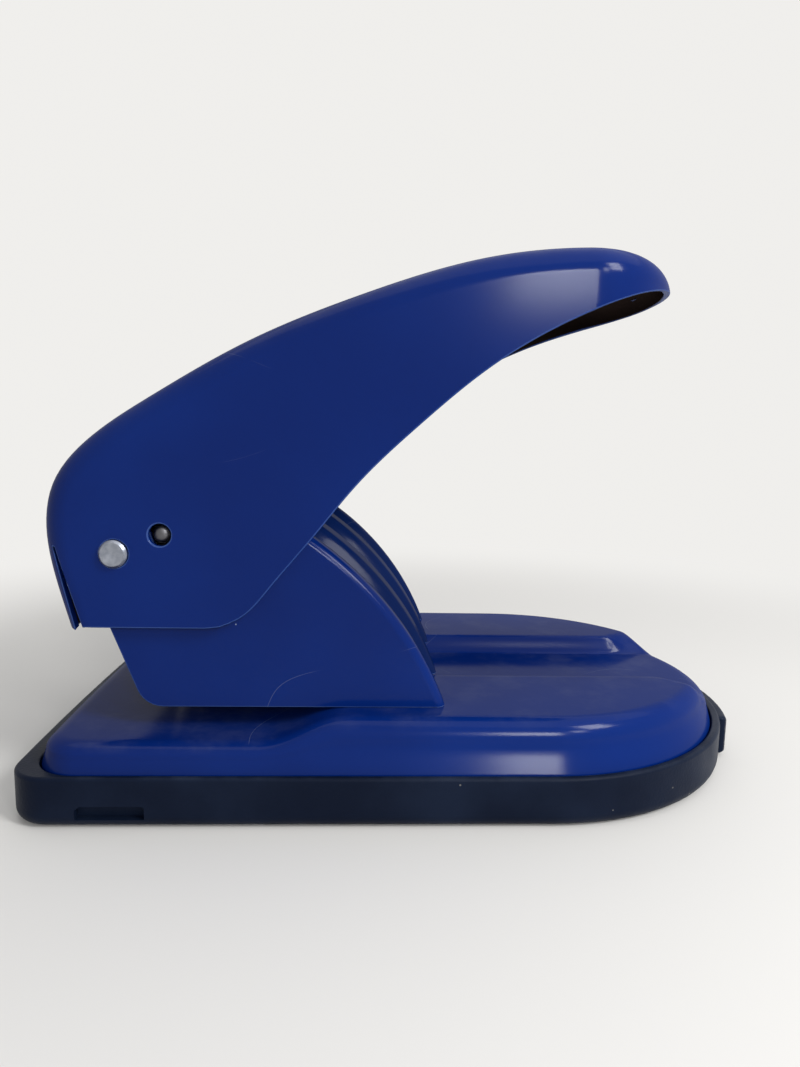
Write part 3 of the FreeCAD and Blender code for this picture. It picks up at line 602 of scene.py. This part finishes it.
for a, b, c in found[2]:
    centre = (found[0][a] + found[0][b] + found[0][c]) / 3
    if abs(centre.x - PUNCH_X) > DIE_HALF_X or abs(centre.y) > DIE_HALF_Y:
        faces.append((base + a, base + b, base + c))
base_plate = piece_from("base_plate_pressing", points, faces)


def mark_bend(piece, share_at):
    """Store for each point how much it lies on a worn bend, from its place in mm."""
    bend = piece.data.attributes.new("bend", "FLOAT", "POINT")
    for vertex in piece.data.vertices:
        bend.data[vertex.index].value = share_at(vertex.co / MM)


mark_bend(base_plate, lambda at: max(0.0, 1 - abs(plate_margin(at.x, at.y) - 2.2) / 1.6))

scratches, given, end, calc = node_group("Shader", "scratches", Scale=9.0)
where = object_coordinates(scratches)
lines = noise(scratches, where, given["Scale"], 1.0, 0.4, ((0.3, 0.5, 0.2), (1.0, 1.0, 2.6)))
hair = calc("LESS_THAN", calc("ABSOLUTE", calc("SUBTRACT", lines, 0.5)), 0.0005)
broken = above(scratches, noise(scratches, where, 38.0), 0.55, 0.62)
feed_node(scratches, end, Mask=calc("MULTIPLY", hair, broken))

chips, given, end, calc = node_group("Shader", "chips", Amount=0.5)
bend = add_node(chips, "ShaderNodeAttribute", "Fac", {"attribute_name": "bend"})
patchy = noise(chips, object_coordinates(chips), 900.0, 4.0, 0.7)
rubbed = calc("ADD", calc("MULTIPLY", bend, given["Amount"]), patchy)
feed_node(chips, end, Mask=above(chips, rubbed, 1.02, 1.08))


def enamel(name, deep, lit, roughness, wear, dusty=0.0, film_colour=(0.25, 0.27, 0.33),
           gloss=0.22):
    """Stoved blue enamel: slight orange peel, specks, hairline scratches, chips, dust."""
    made, tree, shader = plain_material(name, deep, roughness, Specular_IOR_Level=0.0,
                                        Coat_Weight=gloss, Coat_Roughness=0.15)
    calc = functools.partial(maths, tree)
    where = object_coordinates(tree)
    film = use_group(tree, dust, Amount=dusty, Scale=75.0)
    dots = use_group(tree, specks, Cell_size=150.0, Share=0.10, Size=0.055)
    hair = use_group(tree, scratches, Scale=11.0)
    chipped = use_group(tree, chips, Amount=wear)
    colour = tinted(tree, above(tree, noise(tree, where, 14.0, 3.0), 0.3, 0.7), deep, lit)
    colour = tinted(tree, film, colour, film_colour)
    marks = calc("MAXIMUM", dots, calc("MULTIPLY", hair, 0.22))
    colour = tinted(tree, calc("MULTIPLY", marks, 0.55), colour, (0.33, 0.38, 0.5))
    colour = tinted(tree, chipped, colour, (0.42, 0.45, 0.52))
    smudge = calc("MULTIPLY_ADD", noise(tree, where, 45.0, 4.0, 0.6), 0.22, roughness - 0.11)
    feed_node(tree, shader, Base_Color=colour,
              Roughness=calc("MULTIPLY_ADD", film, 0.3, smudge))
    peel = calc("MULTIPLY", noise(tree, where, 700.0), 0.3)
    swell = calc("MULTIPLY", noise(tree, where, 28.0, 1.0), 3.0)
    height = calc("SUBTRACT", calc("ADD", peel, swell), calc("MULTIPLY", chipped, 0.5))
    bumped(tree, shader, height, 0.12, 0.0004)
    return made


blue_enamel = enamel("blue_enamel", (0.0010, 0.0120, 0.105), (0.0016, 0.0180, 0.145),
                     0.32, 0.30, 0.06)
# A paler copy of the enamel for sheet rims and bevels: partly paint worn thin on the edges,
# partly a painted highlight along them.
edge_enamel = enamel("edge_enamel", (0.015, 0.045, 0.19), (0.05, 0.09, 0.26), 0.3, 0.45)
# A darker, less glossy copy for the frame's front wall and its ribs: the darkness is painted
# shade.
rib_enamel = enamel("rib_enamel", (0.0022, 0.0100, 0.060), (0.0040, 0.0160, 0.090), 0.5, 0.30,
                    gloss=0.10)
# A dark brown copy for the inner faces of the sheet parts: painted shade, and its brown is a
# painted reflection.
dull_inside = enamel("dull_inside", (0.016, 0.011, 0.010), (0.034, 0.022, 0.017), 0.6, 0.2,
                     0.2, (0.08, 0.06, 0.05), gloss=0.0)
fill_slots(base_plate, blue_enamel, dull_inside, edge_enamel)
# The underside takes slot 1, the dark brown copy with its painted shade and reflection; the
# sheet's rim takes slot 2, the paler edge copy with its painted highlight.
thicken(base_plate, 1, 2)
FRONT_R, FRONT_Z, RIB_RISE = 80.8, -6.7, 4.5
FRONT_X = REAR + 93.7 - math.sqrt(FRONT_R ** 2 - (HIGH - FRONT_Z) ** 2)
WALL_X = FRONT_X + math.sqrt((FRONT_R - RIB_RISE - SHEET) ** 2 - (HIGH - FRONT_Z) ** 2)
rivet_xs = (WALL_X - 10.2, WALL_X - 3.2)
RIVET_Y, DIE_SCREW_Y = 42.0 - SHEET - 5.5, 13.5
rivet_holes = [prism(disc(x, side * RIVET_Y, 1.5, 20), 5, 30, "z")
               for x in rivet_xs for side in (-1, 1)]
block_xs = (REAR + 58.1, REAR + 71.1)
drills = rivet_holes + [prism(disc(x, 0, 2.55, 24), 5, 30, "z") for x in block_xs]
drills += [turned([(5.0, 1.55), (15.6, 1.55), (17.2, 3.2)], (PUNCH_X, y), steps=28)
           for y in (-DIE_SCREW_Y, DIE_SCREW_Y)]
combine(base_plate, drills, "DIFFERENCE")
finish_edges(base_plate, 0, angle=50)
fit_in(base_plate, "base", "base_plate")

# Frame
# Folded and pressed steel that carries the pivot: two flat cheeks, a front wall curved
# about the base, with two upright ribs and a rolled rim each side and riveted feet.
FRAME_HALF = 42.0
RIM_R, RIM_WIDTH = 2.0, 5.5
RIB_STEP, RIB_WIDTH = 28.0, 9.0
PIVOT_X, PIVOT_Z, PIVOT_R = REAR + 22.3, 56.7, 3.0
LUG_R, FOOT_R = 8.5, 6.0


def end_shape(tree, shape, given, end):
    """End a shape's tree with real geometry in the given material."""
    shape = add_node(tree, "GeometryNodeRealizeInstances", Geometry=shape)
    feed_node(tree, end, Geometry=add_node(tree, "GeometryNodeSetMaterial", Geometry=shape,
                                           Material=given["Material"]))


def shaped_by(piece, tree, **values):
    """Run a Geometry Nodes tree on a piece with these inputs and keep the plain mesh."""
    change = piece.modifiers.new("shape", "NODES")
    change.node_group = tree
    for item in tree.interface.items_tree:
        label = item.name.replace(" ", "_")
        if item.in_out == "INPUT" and label in values:
            change[item.identifier] = values[label]
    settle(piece)


pressed_ribs, given, end, calc = node_group(
    "Geometry", "pressed_ribs", Rib_count=2, Rib_step=0.028, Rib_width=0.009, Rib_rise=0.0045,
    Flank=0.0022, Rim_edge=0.0365, Centre_x=0.0, Centre_z=0.0, Material=None)
px, py, pz = feed_node(
    pressed_ribs, pressed_ribs.nodes.new("ShaderNodeSeparateXYZ"),
    Vector=add_node(pressed_ribs, "GeometryNodeInputPosition")).outputs


def past(value, edge):
    """0 inside an edge and 1 outside it, over the flank's width."""
    return above(pressed_ribs, value, calc("SUBTRACT", edge, given["Flank"]),
                 calc("ADD", edge, given["Flank"]))


out_y = calc("ABSOLUTE", py)
flank_half = calc("MULTIPLY", given["Rib rise"], 0.25)
reach_y = calc("MULTIPLY", calc("MULTIPLY", given["Rib count"], given["Rib step"]), 0.5)
folded = calc("FLOORED_MODULO", calc("ADD", py, reach_y), given["Rib step"])
from_rib = calc("ABSOLUTE", calc("SUBTRACT", folded, calc("MULTIPLY", given["Rib step"], 0.5)))
rib_edge = calc("MULTIPLY_ADD", given["Rib width"], 0.5, flank_half)
on_rib = calc("MULTIPLY", calc("SUBTRACT", 1.0, past(from_rib, rib_edge)),
              calc("LESS_THAN", out_y, reach_y))
on_rim = past(out_y, calc("SUBTRACT", given["Rim edge"], flank_half))
sink = calc("MULTIPLY", given["Rib rise"],
            calc("SUBTRACT", 1.0, calc("MAXIMUM", on_rib, on_rim)))
side = calc("SUBTRACT", px, given["Centre x"])
lift = calc("SUBTRACT", pz, given["Centre z"])
lift_squared = calc("MULTIPLY", lift, lift)
sunk = calc("SUBTRACT", calc("SQRT", calc("MULTIPLY_ADD", side, side, lift_squared)), sink)
sunk_squared = calc("SUBTRACT", calc("MULTIPLY", sunk, sunk), lift_squared)
shift = calc("SUBTRACT", calc("SQRT", calc("MAXIMUM", sunk_squared, 0.0)),
             calc("ABSOLUTE", side))
shift = calc("MULTIPLY", shift, calc("GREATER_THAN", sink, 0.000001))
offset = add_node(pressed_ribs, "ShaderNodeCombineXYZ", X=shift)
end_shape(pressed_ribs, add_node(pressed_ribs, "GeometryNodeSetPosition", Offset=offset,
                                 Geometry=given["Geometry"]), given, end)

bend_side = arc_points((-FRAME_HALF + RIM_R, FRONT_R - RIM_R), RIM_R, 180, 90, 8)
flat_ys = spread(-FRAME_HALF + RIM_R, FRAME_HALF - RIM_R, 0.55)[1:-1]
section = bend_side + [(y, FRONT_R) for y in flat_ys]
section += [(-y, radius) for y, radius in reversed(bend_side)]
wall_top = math.acos((REAR + 62.1 - FRONT_X) / FRONT_R)
cheek_top = math.acos((REAR + 47.8 - FRONT_X) / FRONT_R)
WALL_STEPS = 36
points = []
for step in range(WALL_STEPS + 1):
    for y, radius in section:
        foot = math.asin((HIGH - FRONT_Z) / radius)
        a = foot + (wall_top - foot) * step / WALL_STEPS
        points.append((FRONT_X + radius * math.cos(a), y, FRONT_Z + radius * math.sin(a)))
count = len(section)
rows = [range(row * count, (row + 1) * count) for row in range(WALL_STEPS + 1)]
faces = quads(rows)
lean = math.atan(0.47)
inner_r = FRONT_R - RIM_R
pivot = (PIVOT_X, PIVOT_Z)
outline = arc((FRONT_X, FRONT_Z), inner_r, wall_top, cheek_top, math.radians(2))[1:]
outline += arc(pivot, LUG_R, math.pi / 2, math.pi + lean, math.radians(8))
corner = Vector((REAR + 26.9, HIGH))
half = (Vector(outline[-1]) - corner).angle(Vector((1.0, 0.0))) / 2
outline += arc(corner + FOOT_R * Vector((1 / math.tan(half), 1.0)), FOOT_R,
               math.pi / 2 + 2 * half, math.pi * 1.5, math.radians(11))
for column, y in ((0, -FRAME_HALF), (-1, FRAME_HALF)):
    base = len(points)
    points += level_ring(outline, y, "y")
    faces.append((*(row[column] for row in rows), *range(base, len(points))))
punch_frame = piece_from("punch_frame_folding", points, faces)
shaped_by(punch_frame, pressed_ribs, Rib_count=2, Rib_step=RIB_STEP * MM,
          Rib_width=RIB_WIDTH * MM, Rib_rise=RIB_RISE * MM, Flank=0.0022,
          Rim_edge=(FRAME_HALF - RIM_WIDTH) * MM, Centre_x=FRONT_X * MM,
          Centre_z=FRONT_Z * MM, Material=blue_enamel)
fill_slots(punch_frame, blue_enamel, dull_inside, edge_enamel, rib_enamel)
# The front wall between the rims takes the darker copy: painted shade.
for face in punch_frame.data.polygons:
    if abs(face.center.y) < (FRAME_HALF - 2.6) * MM:
        face.material_index = 3
thicken(punch_frame)
# Faces that look inwards take the dark brown copy: painted shade and a painted reflection.
for face in punch_frame.data.polygons:
    out = Vector((face.center.x - FRONT_X * MM, 0, face.center.z - FRONT_Z * MM))
    on_side = abs(face.center.y) > (FRAME_HALF - 0.1) * MM
    if not on_side and face.normal.dot(out) <= 0:
        face.material_index = 1
feet = []
for side in (-1, 1):
    edges = sorted(side * (FRAME_HALF - inset) for inset in (SHEET / 2, 12.5))
    feet.append(block(WALL_X - 14.0, WALL_X + SHEET / 2, *edges, HIGH, HIGH + SHEET))
combine(punch_frame, feet, "UNION")
CROSS_X, CROSS_Z, CROSS_R = 9.6, 4.1, 1.9
swing = math.hypot(CROSS_X, CROSS_Z)
slot_start = math.atan2(CROSS_Z, CROSS_X) + math.radians(4)
slot_end = slot_start - math.radians(33)
slot_half = CROSS_R + 0.7
top_end, low_end = [(PIVOT_X + swing * math.cos(a), PIVOT_Z + swing * math.sin(a))
                    for a in (slot_start, slot_end)]
slot = arc(pivot, swing + slot_half, slot_end, slot_start, 0.1)
slot += arc(top_end, slot_half, slot_start, slot_start + math.pi, 0.4)[1:]
slot += arc(pivot, swing - slot_half, slot_start, slot_end, 0.1)[1:]
slot += arc(low_end, slot_half, slot_end + math.pi, slot_end + 2 * math.pi, 0.4)[1:-1]
holes = [prism(slot, -45, 45), prism(disc(*pivot, PIVOT_R + 0.05), -45, 45)]
combine(punch_frame, holes + rivet_holes, "DIFFERENCE")
finish_edges(punch_frame, 0.3, 2, 50)
fit_in(punch_frame, "base", "punch_frame")

# Lever
# A hood folded from the same sheet, in the same enamel: flat sides, a back whose edges are
# rolled to 6 mm, a rear wall below the pivot, and a rounded nose for the hand.
LEVER_HALF, BEND = 45.0, 6.0
TIP = REAR + 151.4
NOSE_LONG = 29.6
LEVER_REAR, HEEL_Z, LEVER_TOP = REAR + 6.6, 39.6, 122.6
LEVER_REACH, LEVER_RISE = TIP - LEVER_REAR, LEVER_TOP - HEEL_Z
HEEL = REAR + 15.0
PLATE_FOOT, SLIT, PATH_STEP = 40.6, 1.4, 0.1


def lever_place(along, up):
    return LEVER_REAR + along * LEVER_REACH, HEEL_Z + up * LEVER_RISE


def smooth_curve(*shares):
    """Places along a natural cubic spline through shares of the lever's reach and rise."""
    knots = np.array([lever_place(*share) for share in shares])
    spans = np.linalg.norm(np.diff(knots, axis=0), axis=1)
    marks = np.concatenate([[0.0], np.cumsum(spans)])
    size = len(knots)
    matrix = np.eye(size)
    right = np.zeros((size, 2))
    for i in range(1, size - 1):
        before, after = spans[i - 1], spans[i]
        matrix[i, i - 1:i + 2] = before, 2 * (before + after), after
        right[i] = 6 * ((knots[i + 1] - knots[i]) / after - (knots[i] - knots[i - 1]) / before)
    second = np.linalg.solve(matrix, right)
    path = []
    for at in np.linspace(0, marks[-1], int(marks[-1] / PATH_STEP) + 1):
        i = min(size - 2, int(np.searchsorted(marks, at, side="right")) - 1)
        h, a, b = spans[i], marks[i + 1] - at, at - marks[i]
        pull = second[i] * a * (h * h - a * a) + second[i + 1] * b * (h * h - b * b)
        path.append((knots[i] * a + knots[i + 1] * b - pull / 6) / h)
    return np.array(path)


back = smooth_curve(
    (0.057, -0.176), (0.031, 0.0), (0.008, 0.153), (0.0, 0.258), (0.013, 0.384),
    (0.069, 0.501), (0.155, 0.604), (0.297, 0.747), (0.466, 0.872), (0.646, 0.969),
    (0.796, 1.0), (0.906, 0.992), (1.007, 0.959))
lower = smooth_curve(
    (0.259, 0.016), (0.291, 0.042), (0.332, 0.117), (0.392, 0.243), (0.463, 0.395),
    (0.551, 0.545), (0.649, 0.689), (0.758, 0.805), (0.823, 0.856), (0.906, 0.904),
    (1.014, 0.942))
slope = np.gradient(back, axis=0)
outward = np.stack([-slope[:, 1], slope[:, 0]], axis=1)
outward /= np.linalg.norm(outward, axis=1)[:, None]
rear_most = int(np.argmin(back[:, 0]))


def back_at(index):
    """The back's place and outward direction at a position along it."""
    i = int(min(max(index, 0), len(back) - 2))
    share = min(1.0, max(0.0, index - i))
    place = back[i] * (1 - share) + back[i + 1] * share
    return place, outward[i] * (1 - share) + outward[i + 1] * share


def back_index(x):
    """Where along the back the hood reaches x, ahead of its rearmost place."""
    return float(np.interp(x, back[rear_most:, 0], np.arange(rear_most, len(back))))


def edge_height(x):
    """The height of the hood's lower edge, ahead of the toe."""
    return float(np.interp(x, lower[:, 0], lower[:, 1]))


def bent(index, angle):
    """A place on the rolled edge beside the straight part of the back."""
    place, out = back_at(index)
    fall = BEND * (1 - math.cos(angle))
    return (place[0] - out[0] * fall, LEVER_HALF - BEND * (1 - math.sin(angle)),
            place[1] - out[1] * fall)


def foot_height(x):
    """The bottom line of rear wall and side plates."""
    return HEEL_Z + (PLATE_FOOT - HEEL_Z) * min(1.0, max(0.0, (x - HEEL + SLIT) / SLIT))


FOLDS = 8
JOIN = back_index(TIP - NOSE_LONG)
STATIONS, NOSE_STEPS, WALL_ROWS, ACROSS = 84, 40, 6, 12
angles = spread(0.0, math.pi / 2, math.pi / 2 / FOLDS)
starts = []
for angle in angles:
    low, high = 0.0, float(rear_most)
    for trial in range(30):
        middle = (low + high) / 2
        x, y, z = bent(middle, angle)
        if z < foot_height(x):
            low = middle
        else:
            high = middle
    starts.append(high)
rolled = [[bent(start + (JOIN - start) * station / STATIONS, angle)
           for start, angle in zip(starts, angles)] for station in range(STATIONS + 1)]


def nose_column(turn):
    """From the back over the rolled edge and down to the lower edge, round the nose."""
    x = TIP - NOSE_LONG + NOSE_LONG * math.sin(turn)
    y = LEVER_HALF * math.cos(turn)
    normal = Vector((LEVER_HALF * math.sin(turn), NOSE_LONG * math.cos(turn))).normalized()
    path = []
    for k in range(400):
        run = k * PATH_STEP
        angle = min(math.pi / 2, run / BEND)
        inset = BEND * (1 - math.sin(angle))
        fall = BEND * (1 - math.cos(angle))
        px, py = x - normal.x * inset, y - normal.y * inset
        place, out = back_at(back_index(px))
        down = max(0.0, run - BEND * math.pi / 2)
        path.append((px - out[0] * fall, max(0.0, py), place[1] - out[1] * fall - down))
        if path[-1][2] < edge_height(path[-1][0]):
            break
    last, before = path[-1], path[-2]
    gap_before = before[2] - edge_height(before[0])
    gap_last = edge_height(last[0]) - last[2]
    share = gap_before / (gap_before + gap_last)
    path[-1] = blend(before, last, share)
    return path


nose = []
for station in range(NOSE_STEPS + 1):
    path = nose_column(math.pi / 2 * station / NOSE_STEPS)
    total = len(path) - 2
    if station == 0:
        bend_end = BEND * math.pi / 2 / PATH_STEP
        marks = stepped(0.0, (bend_end, bend_end / FOLDS),
                        (total, (total - bend_end) / WALL_ROWS))
    else:
        marks = spread(0.0, total, total / (FOLDS + WALL_ROWS))
    column = []
    for mark in marks[:-1]:
        i = min(int(mark), total)
        column.append(blend(path[i], path[i + 1], mark - i))
    nose.append(column + [path[-1]])
nose[0][:FOLDS + 1] = rolled[-1]

points, faces, folds = [], [], []


def add(place, fold):
    points.append(place)
    folds.append(fold)
    return len(points) - 1


def laid(columns, side, fold_at):
    """Lay columns of places on one side, with each place's share of the rolled edge."""
    rows = [[add((x, side * y, z), fold_at(k)) for k, (x, y, z) in enumerate(column)]
            for column in columns]
    faces.extend(quads(rows))
    return rows


laid([[(x, y * (2 * k / ACROSS - 1), z) for k in range(ACROSS + 1)]
      for (x, y, z), *rest in rolled + nose[1:]], 1, lambda k: 0.0)
for side in (-1, 1):
    roll_rows = laid(rolled, side, lambda k: math.sin(2 * angles[k]))
    nose_rows = laid(nose, side, lambda k: max(0.0, 1 - abs(k - 4) / 4))
    plate = [row[-1] for row in roll_rows] + nose_rows[0][FOLDS + 1:]
    limit = points[plate[-1]][0] - 0.5
    toe = [place for place in lower[::12] if place[0] < limit]
    for x, z in toe[::-1] + [(lever_place(0.238, 0)[0], PLATE_FOOT)]:
        plate.append(add((x, side * LEVER_HALF, z), 0.0))
    faces.append(tuple(plate))
lever = piece_from("lever_hood", points, faces)
lookup = {}
for place, fold in zip(points, folds):
    key = tuple(round(value, 2) for value in place)
    lookup[key] = max(fold, lookup.get(key, 0.0))
mark_bend(lever, lambda at: lookup.get(tuple(round(value, 2) for value in at), 0.0))
fill_slots(lever, blue_enamel, dull_inside, edge_enamel)
# The inside takes slot 1, the dark brown copy with its painted shade and reflection; the
# sheet's rim takes slot 2, the paler edge copy with its painted highlight.
thicken(lever, 1, 2)
slit_top = PLATE_FOOT + 17.4
slit = [(HEEL - 1.0, 36.0), (HEEL, 36.0), (HEEL, PLATE_FOOT), (HEEL - 5.4, slit_top),
        (HEEL - 5.8, slit_top)]
cross = (PIVOT_X + CROSS_X, PIVOT_Z + CROSS_Z)
combine(lever, [prism(slit, -46.0, -39.0), prism(slit, 39.0, 46.0),
                prism(disc(*pivot, PIVOT_R), -50, 50), prism(disc(*cross, 2.4), -50, 50)],
        "DIFFERENCE")
finish_edges(lever, 0.3, 2, 50)
fit_in(lever, "lever", "lever")


# Pivot pin and cross pin
# Turned steel bars, the pivot pin plated with zinc. Its ends are chamfered and stand proud of
# the lever's sides; the cross pin ends inside the small hole beside it.
def steel(name, colour, roughness, patchy, limits, dark, light, rough, grain, depth):
    """Bare metal: a cloudy sheen between two greys and a fine grain."""
    made, tree, shader = plain_material(name, colour, roughness, Metallic=1.0)
    where = object_coordinates(tree)
    cloud = above(tree, noise(tree, where, *patchy), *limits)
    feed_node(tree, shader, Base_Color=tinted(tree, cloud, dark, light),
              Roughness=maths(tree, "MULTIPLY_ADD", cloud, *rough))
    bumped(tree, shader, noise(tree, where, *grain), depth, 0.0001)
    return made


zinc = steel("bright_zinc", (0.30, 0.31, 0.36), 0.34, (500.0, 4.0, 0.6), (0.25, 0.8),
             (0.22, 0.24, 0.29), (0.36, 0.38, 0.43), (0.14, 0.28), (1600.0, 3.0), 0.12)
dark_steel = steel("dark_steel", (0.08, 0.08, 0.09), 0.35, (160.0, 4.0), (0.35, 0.7),
                   (0.07, 0.07, 0.08), (0.16, 0.16, 0.17), (0.2, 0.3),
                   (1800.0, 3.0, 0.6, ((0.0, 0.0, 0.0), (1.0, 0.12, 1.0))), 0.2)


def dress(piece, body, node, angle=35):
    """Smooth a finished piece except at its sharp edges and put it in its node's place."""
    for face in piece.data.polygons:
        face.use_smooth = True
    piece.data.set_sharp_from_angle(angle=math.radians(angle))
    fit_in(piece, body, node)


PIN_HALF = LEVER_HALF + 1.2
RING_GAP, RING_THICK = 0.15, 0.8
RING_Y = FRAME_HALF - SHEET - RING_GAP
pin_profile = [(0.0, PIVOT_R), (RING_Y - RING_THICK, PIVOT_R),
               (RING_Y - RING_THICK, 2.5), (RING_Y, 2.5),
               (RING_Y, PIVOT_R), (PIN_HALF - 0.5, PIVOT_R), (PIN_HALF - 0.12, 2.66),
               (PIN_HALF, 2.5), (PIN_HALF, 0.9), (PIN_HALF - 0.12, 0.5)]
cross_half = LEVER_HALF - 1.1
cross_profile = [(0.0, 1.9), (cross_half - 1.0, 1.9), (cross_half - 0.45, 1.7),
                 (cross_half - 0.15, 1.2), (cross_half, 0.5)]
for node, profile, spot, steps, material, angle in (
        ("pivot_pin", pin_profile, pivot, 56, zinc, 25),
        ("cross_pin", cross_profile, cross, 32, dark_steel, 60)):
    whole = [(-along, radius) for along, radius in reversed(profile)] + profile
    pin = piece_from(node + "_turned", *turned(whole, spot, "y", steps))
    fill_slots(pin, material)
    dress(pin, "lever", node, angle)

# Washers, spacers, rivets and screws
# Small parts that repeat: zinc-plated washers and spacer tubes on the pivot pin, rivets in
# the frame's feet, screws of the die and stripper plate, and the guide block's dark screws.
rows_of_parts, given, end, calc = node_group(
    "Geometry", "rows_of_parts", Count=2, Step=(0.0, 0.0, 0.0), Row_count=1,
    Row_step=(0.0, 0.0, 0.0), Material=None)
placed = given["Geometry"]
for count_name, step_name in (("Count", "Step"), ("Row count", "Row step")):
    line = add_node(rows_of_parts, "GeometryNodeMeshLine", 0, {"mode": "OFFSET"},
                    Count=given[count_name], Offset=given[step_name])
    placed = add_node(rows_of_parts, "GeometryNodeInstanceOnPoints", Points=line,
                      Instance=placed)
end_shape(rows_of_parts, placed, given, end)


def repeated(node, shape, pitch, cuts=(), row_pitch=(0, 0, 0), rows=1, body="base",
             material=zinc):
    """Place a part twice, or so in each of some rows, in its node's place."""
    piece = piece_from(node + "_row", *shape)
    if cuts:
        combine(piece, cuts, "DIFFERENCE")
    shaped_by(piece, rows_of_parts, Count=2, Step=[v * MM for v in pitch], Row_count=rows,
              Row_step=[v * MM for v in row_pitch], Material=material)
    dress(piece, body, node)


spacer_y = 15.0
spacer_long = RING_Y - RING_THICK - RING_GAP - spacer_y
for node, near, length, outer, chamfer in (
        ("pivot_washers", FRAME_HALF + RING_GAP, 1.2, 5.5, 0.2),
        ("pivot_spacers", spacer_y, spacer_long, 4.5, 0.3)):
    far = near + length
    tube = [(-far, PIVOT_R), (-far, outer - chamfer), (chamfer - far, outer),
            (-near - chamfer, outer), (-near, outer - chamfer), (-near, PIVOT_R)]
    repeated(node, turned(tube, pivot, "y", 40, True), (0, near + far, 0),
             body="lever")
rivet = [(HIGH - SHEET - 1.0, 2.2), (HIGH - SHEET - 0.75, 2.5), (HIGH - SHEET, 2.55),
         (HIGH - SHEET, 1.5), (HIGH + SHEET, 1.5), (HIGH + SHEET, 2.6)]
rivet += [(z, radius) for radius, z in arc_points((0, HIGH + SHEET - 1.5), 3.0, 36, 86, 5)]
repeated("frame_rivets", turned(rivet, (rivet_xs[0], -RIVET_Y), steps=32),
         (0, 2 * RIVET_Y, 0), (), (rivet_xs[1] - rivet_xs[0], 0, 0), 2)
THROAT_TOP = LOW + 4.6
flush = [(LOW - SHEET - 5.0, 1.45), (LOW - 1.5, 1.45), (LOW - 0.15, 2.85), (LOW, 2.7)]
cap = [(LOW - SHEET - 3.0, 3.6), (LOW - SHEET - 2.7, 4.0), (LOW - SHEET, 4.0),
       (LOW - SHEET, 2.45), (LOW + 8.7, 2.45), (LOW + 9.0, 2.1)]
grub = [(THROAT_TOP, 1.2), (THROAT_TOP + 0.25, 1.45), (THROAT_TOP + 5.7, 1.45),
        (THROAT_TOP + 6.0, 1.1)]


def slot_across(half, low, high):
    """A driver's slot across the near one of the two small screws."""
    return block(PUNCH_X - 3.5, PUNCH_X + 3.5, -DIE_SCREW_Y - half, -DIE_SCREW_Y + half,
                 low, high)


near, beside = (PUNCH_X, -DIE_SCREW_Y), (0, 2 * DIE_SCREW_Y, 0)
ahead = (block_xs[1] - block_xs[0], 0, 0)
hexagon = prism(disc(block_xs[0], 0, 1.4, 6), LOW - 5, LOW - SHEET - 1.25, "z")
for node, profile, spot, steps, pitch, drive, material in (
        ("die_screws", flush, near, 32, beside, slot_across(0.3, LOW - 0.6, LOW + 1), zinc),
        ("block_screws", cap, (block_xs[0], 0), 36, ahead, hexagon, dark_steel),
        ("stripper_screws", grub, near, 28, beside,
         slot_across(0.25, THROAT_TOP - 1, THROAT_TOP + 0.6), zinc)):
    repeated(node, turned(profile, spot, steps=steps), pitch, [drive], material=material)

# Return spring
# A coil of round spring wire between its seat washer and the punch head. It rides on the base.
coil, given, end, calc = node_group(
    "Geometry", "coil", Turns=5.0, Coil_radius=0.00925, Height=0.0145, Wire_radius=0.00075,
    Place=(0.0, 0.0, 0.0), Material=None)
spiral = add_node(coil, "GeometryNodeCurveSpiral", Resolution=40, Rotations=given["Turns"],
                  Start_Radius=given["Coil radius"], End_Radius=given["Coil radius"],
                  Height=given["Height"])
wire = add_node(coil, "GeometryNodeCurvePrimitiveCircle", Resolution=14,
                Radius=given["Wire radius"])
wound = add_node(coil, "GeometryNodeCurveToMesh", Curve=spiral, Profile_Curve=wire,
                 Fill_Caps=True)
end_shape(coil, add_node(coil, "GeometryNodeTransform", Geometry=wound,
                         Translation=given["Place"]), given, end)
SPRING_FOOT, HEAD_FOOT, STROKE = 34.0, 50.0, 8.6
return_spring = piece_from("return_spring_coil", [(0, 0, 0), (1, 0, 0), (0, 1, 0)],
                           [(0, 1, 2)])
shaped_by(return_spring, coil, Turns=5.0, Coil_radius=0.00925,
          Height=(HEAD_FOOT - SPRING_FOOT - 1.5) * MM, Wire_radius=0.00075,
          Place=[PUNCH_X * MM, 0.0, (SPRING_FOOT + 0.75) * MM], Material=dark_steel)
dress(return_spring, "base", "return_spring", 60)
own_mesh(return_spring)

# Punch set, bracket and the other steel inside
# Milled and hardened steel with its edges broken by a small bevel: guide block, die,
# stripper, blade, head and their pins, and the bracket and rings that hang from the lever.
for node, body, slot, width in (
        ("punch_block", "base", "tool_steel", 0.3), ("die_plate", "base", "tool_steel", 0.15),
        ("stripper_plate", "base", "spring_steel", 0.1),
        ("spring_seat", "base", "zinc_steel", 0.15),
        ("punch_head", "punch", "zinc_steel", 0.15),
        ("head_pin", "punch", "zinc_steel", 0.15),
        ("punch_blade", "punch", "tool_steel", 0.04),
        ("press_bracket", "lever", "zinc_steel", 0.3),
        ("press_pin", "lever", "tool_steel", 0.1),
        ("retaining_rings", "lever", "spring_steel", 0.08)):
    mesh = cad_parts[node].data.copy()
    work = bmesh.new()
    work.from_mesh(mesh)
    bmesh.ops.remove_doubles(work, verts=work.verts, dist=1e-6)
    bmesh.ops.dissolve_limit(work, angle_limit=math.radians(0.5), verts=work.verts,
                             edges=work.edges)
    work.to_mesh(mesh)
    work.free()
    piece = put(node + "_machined", mesh)
    fill_slots(piece, zinc if slot == "zinc_steel" else dark_steel)
    finish_edges(piece, width, clamped=True)
    fit_in(piece, body, node)

low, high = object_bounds()
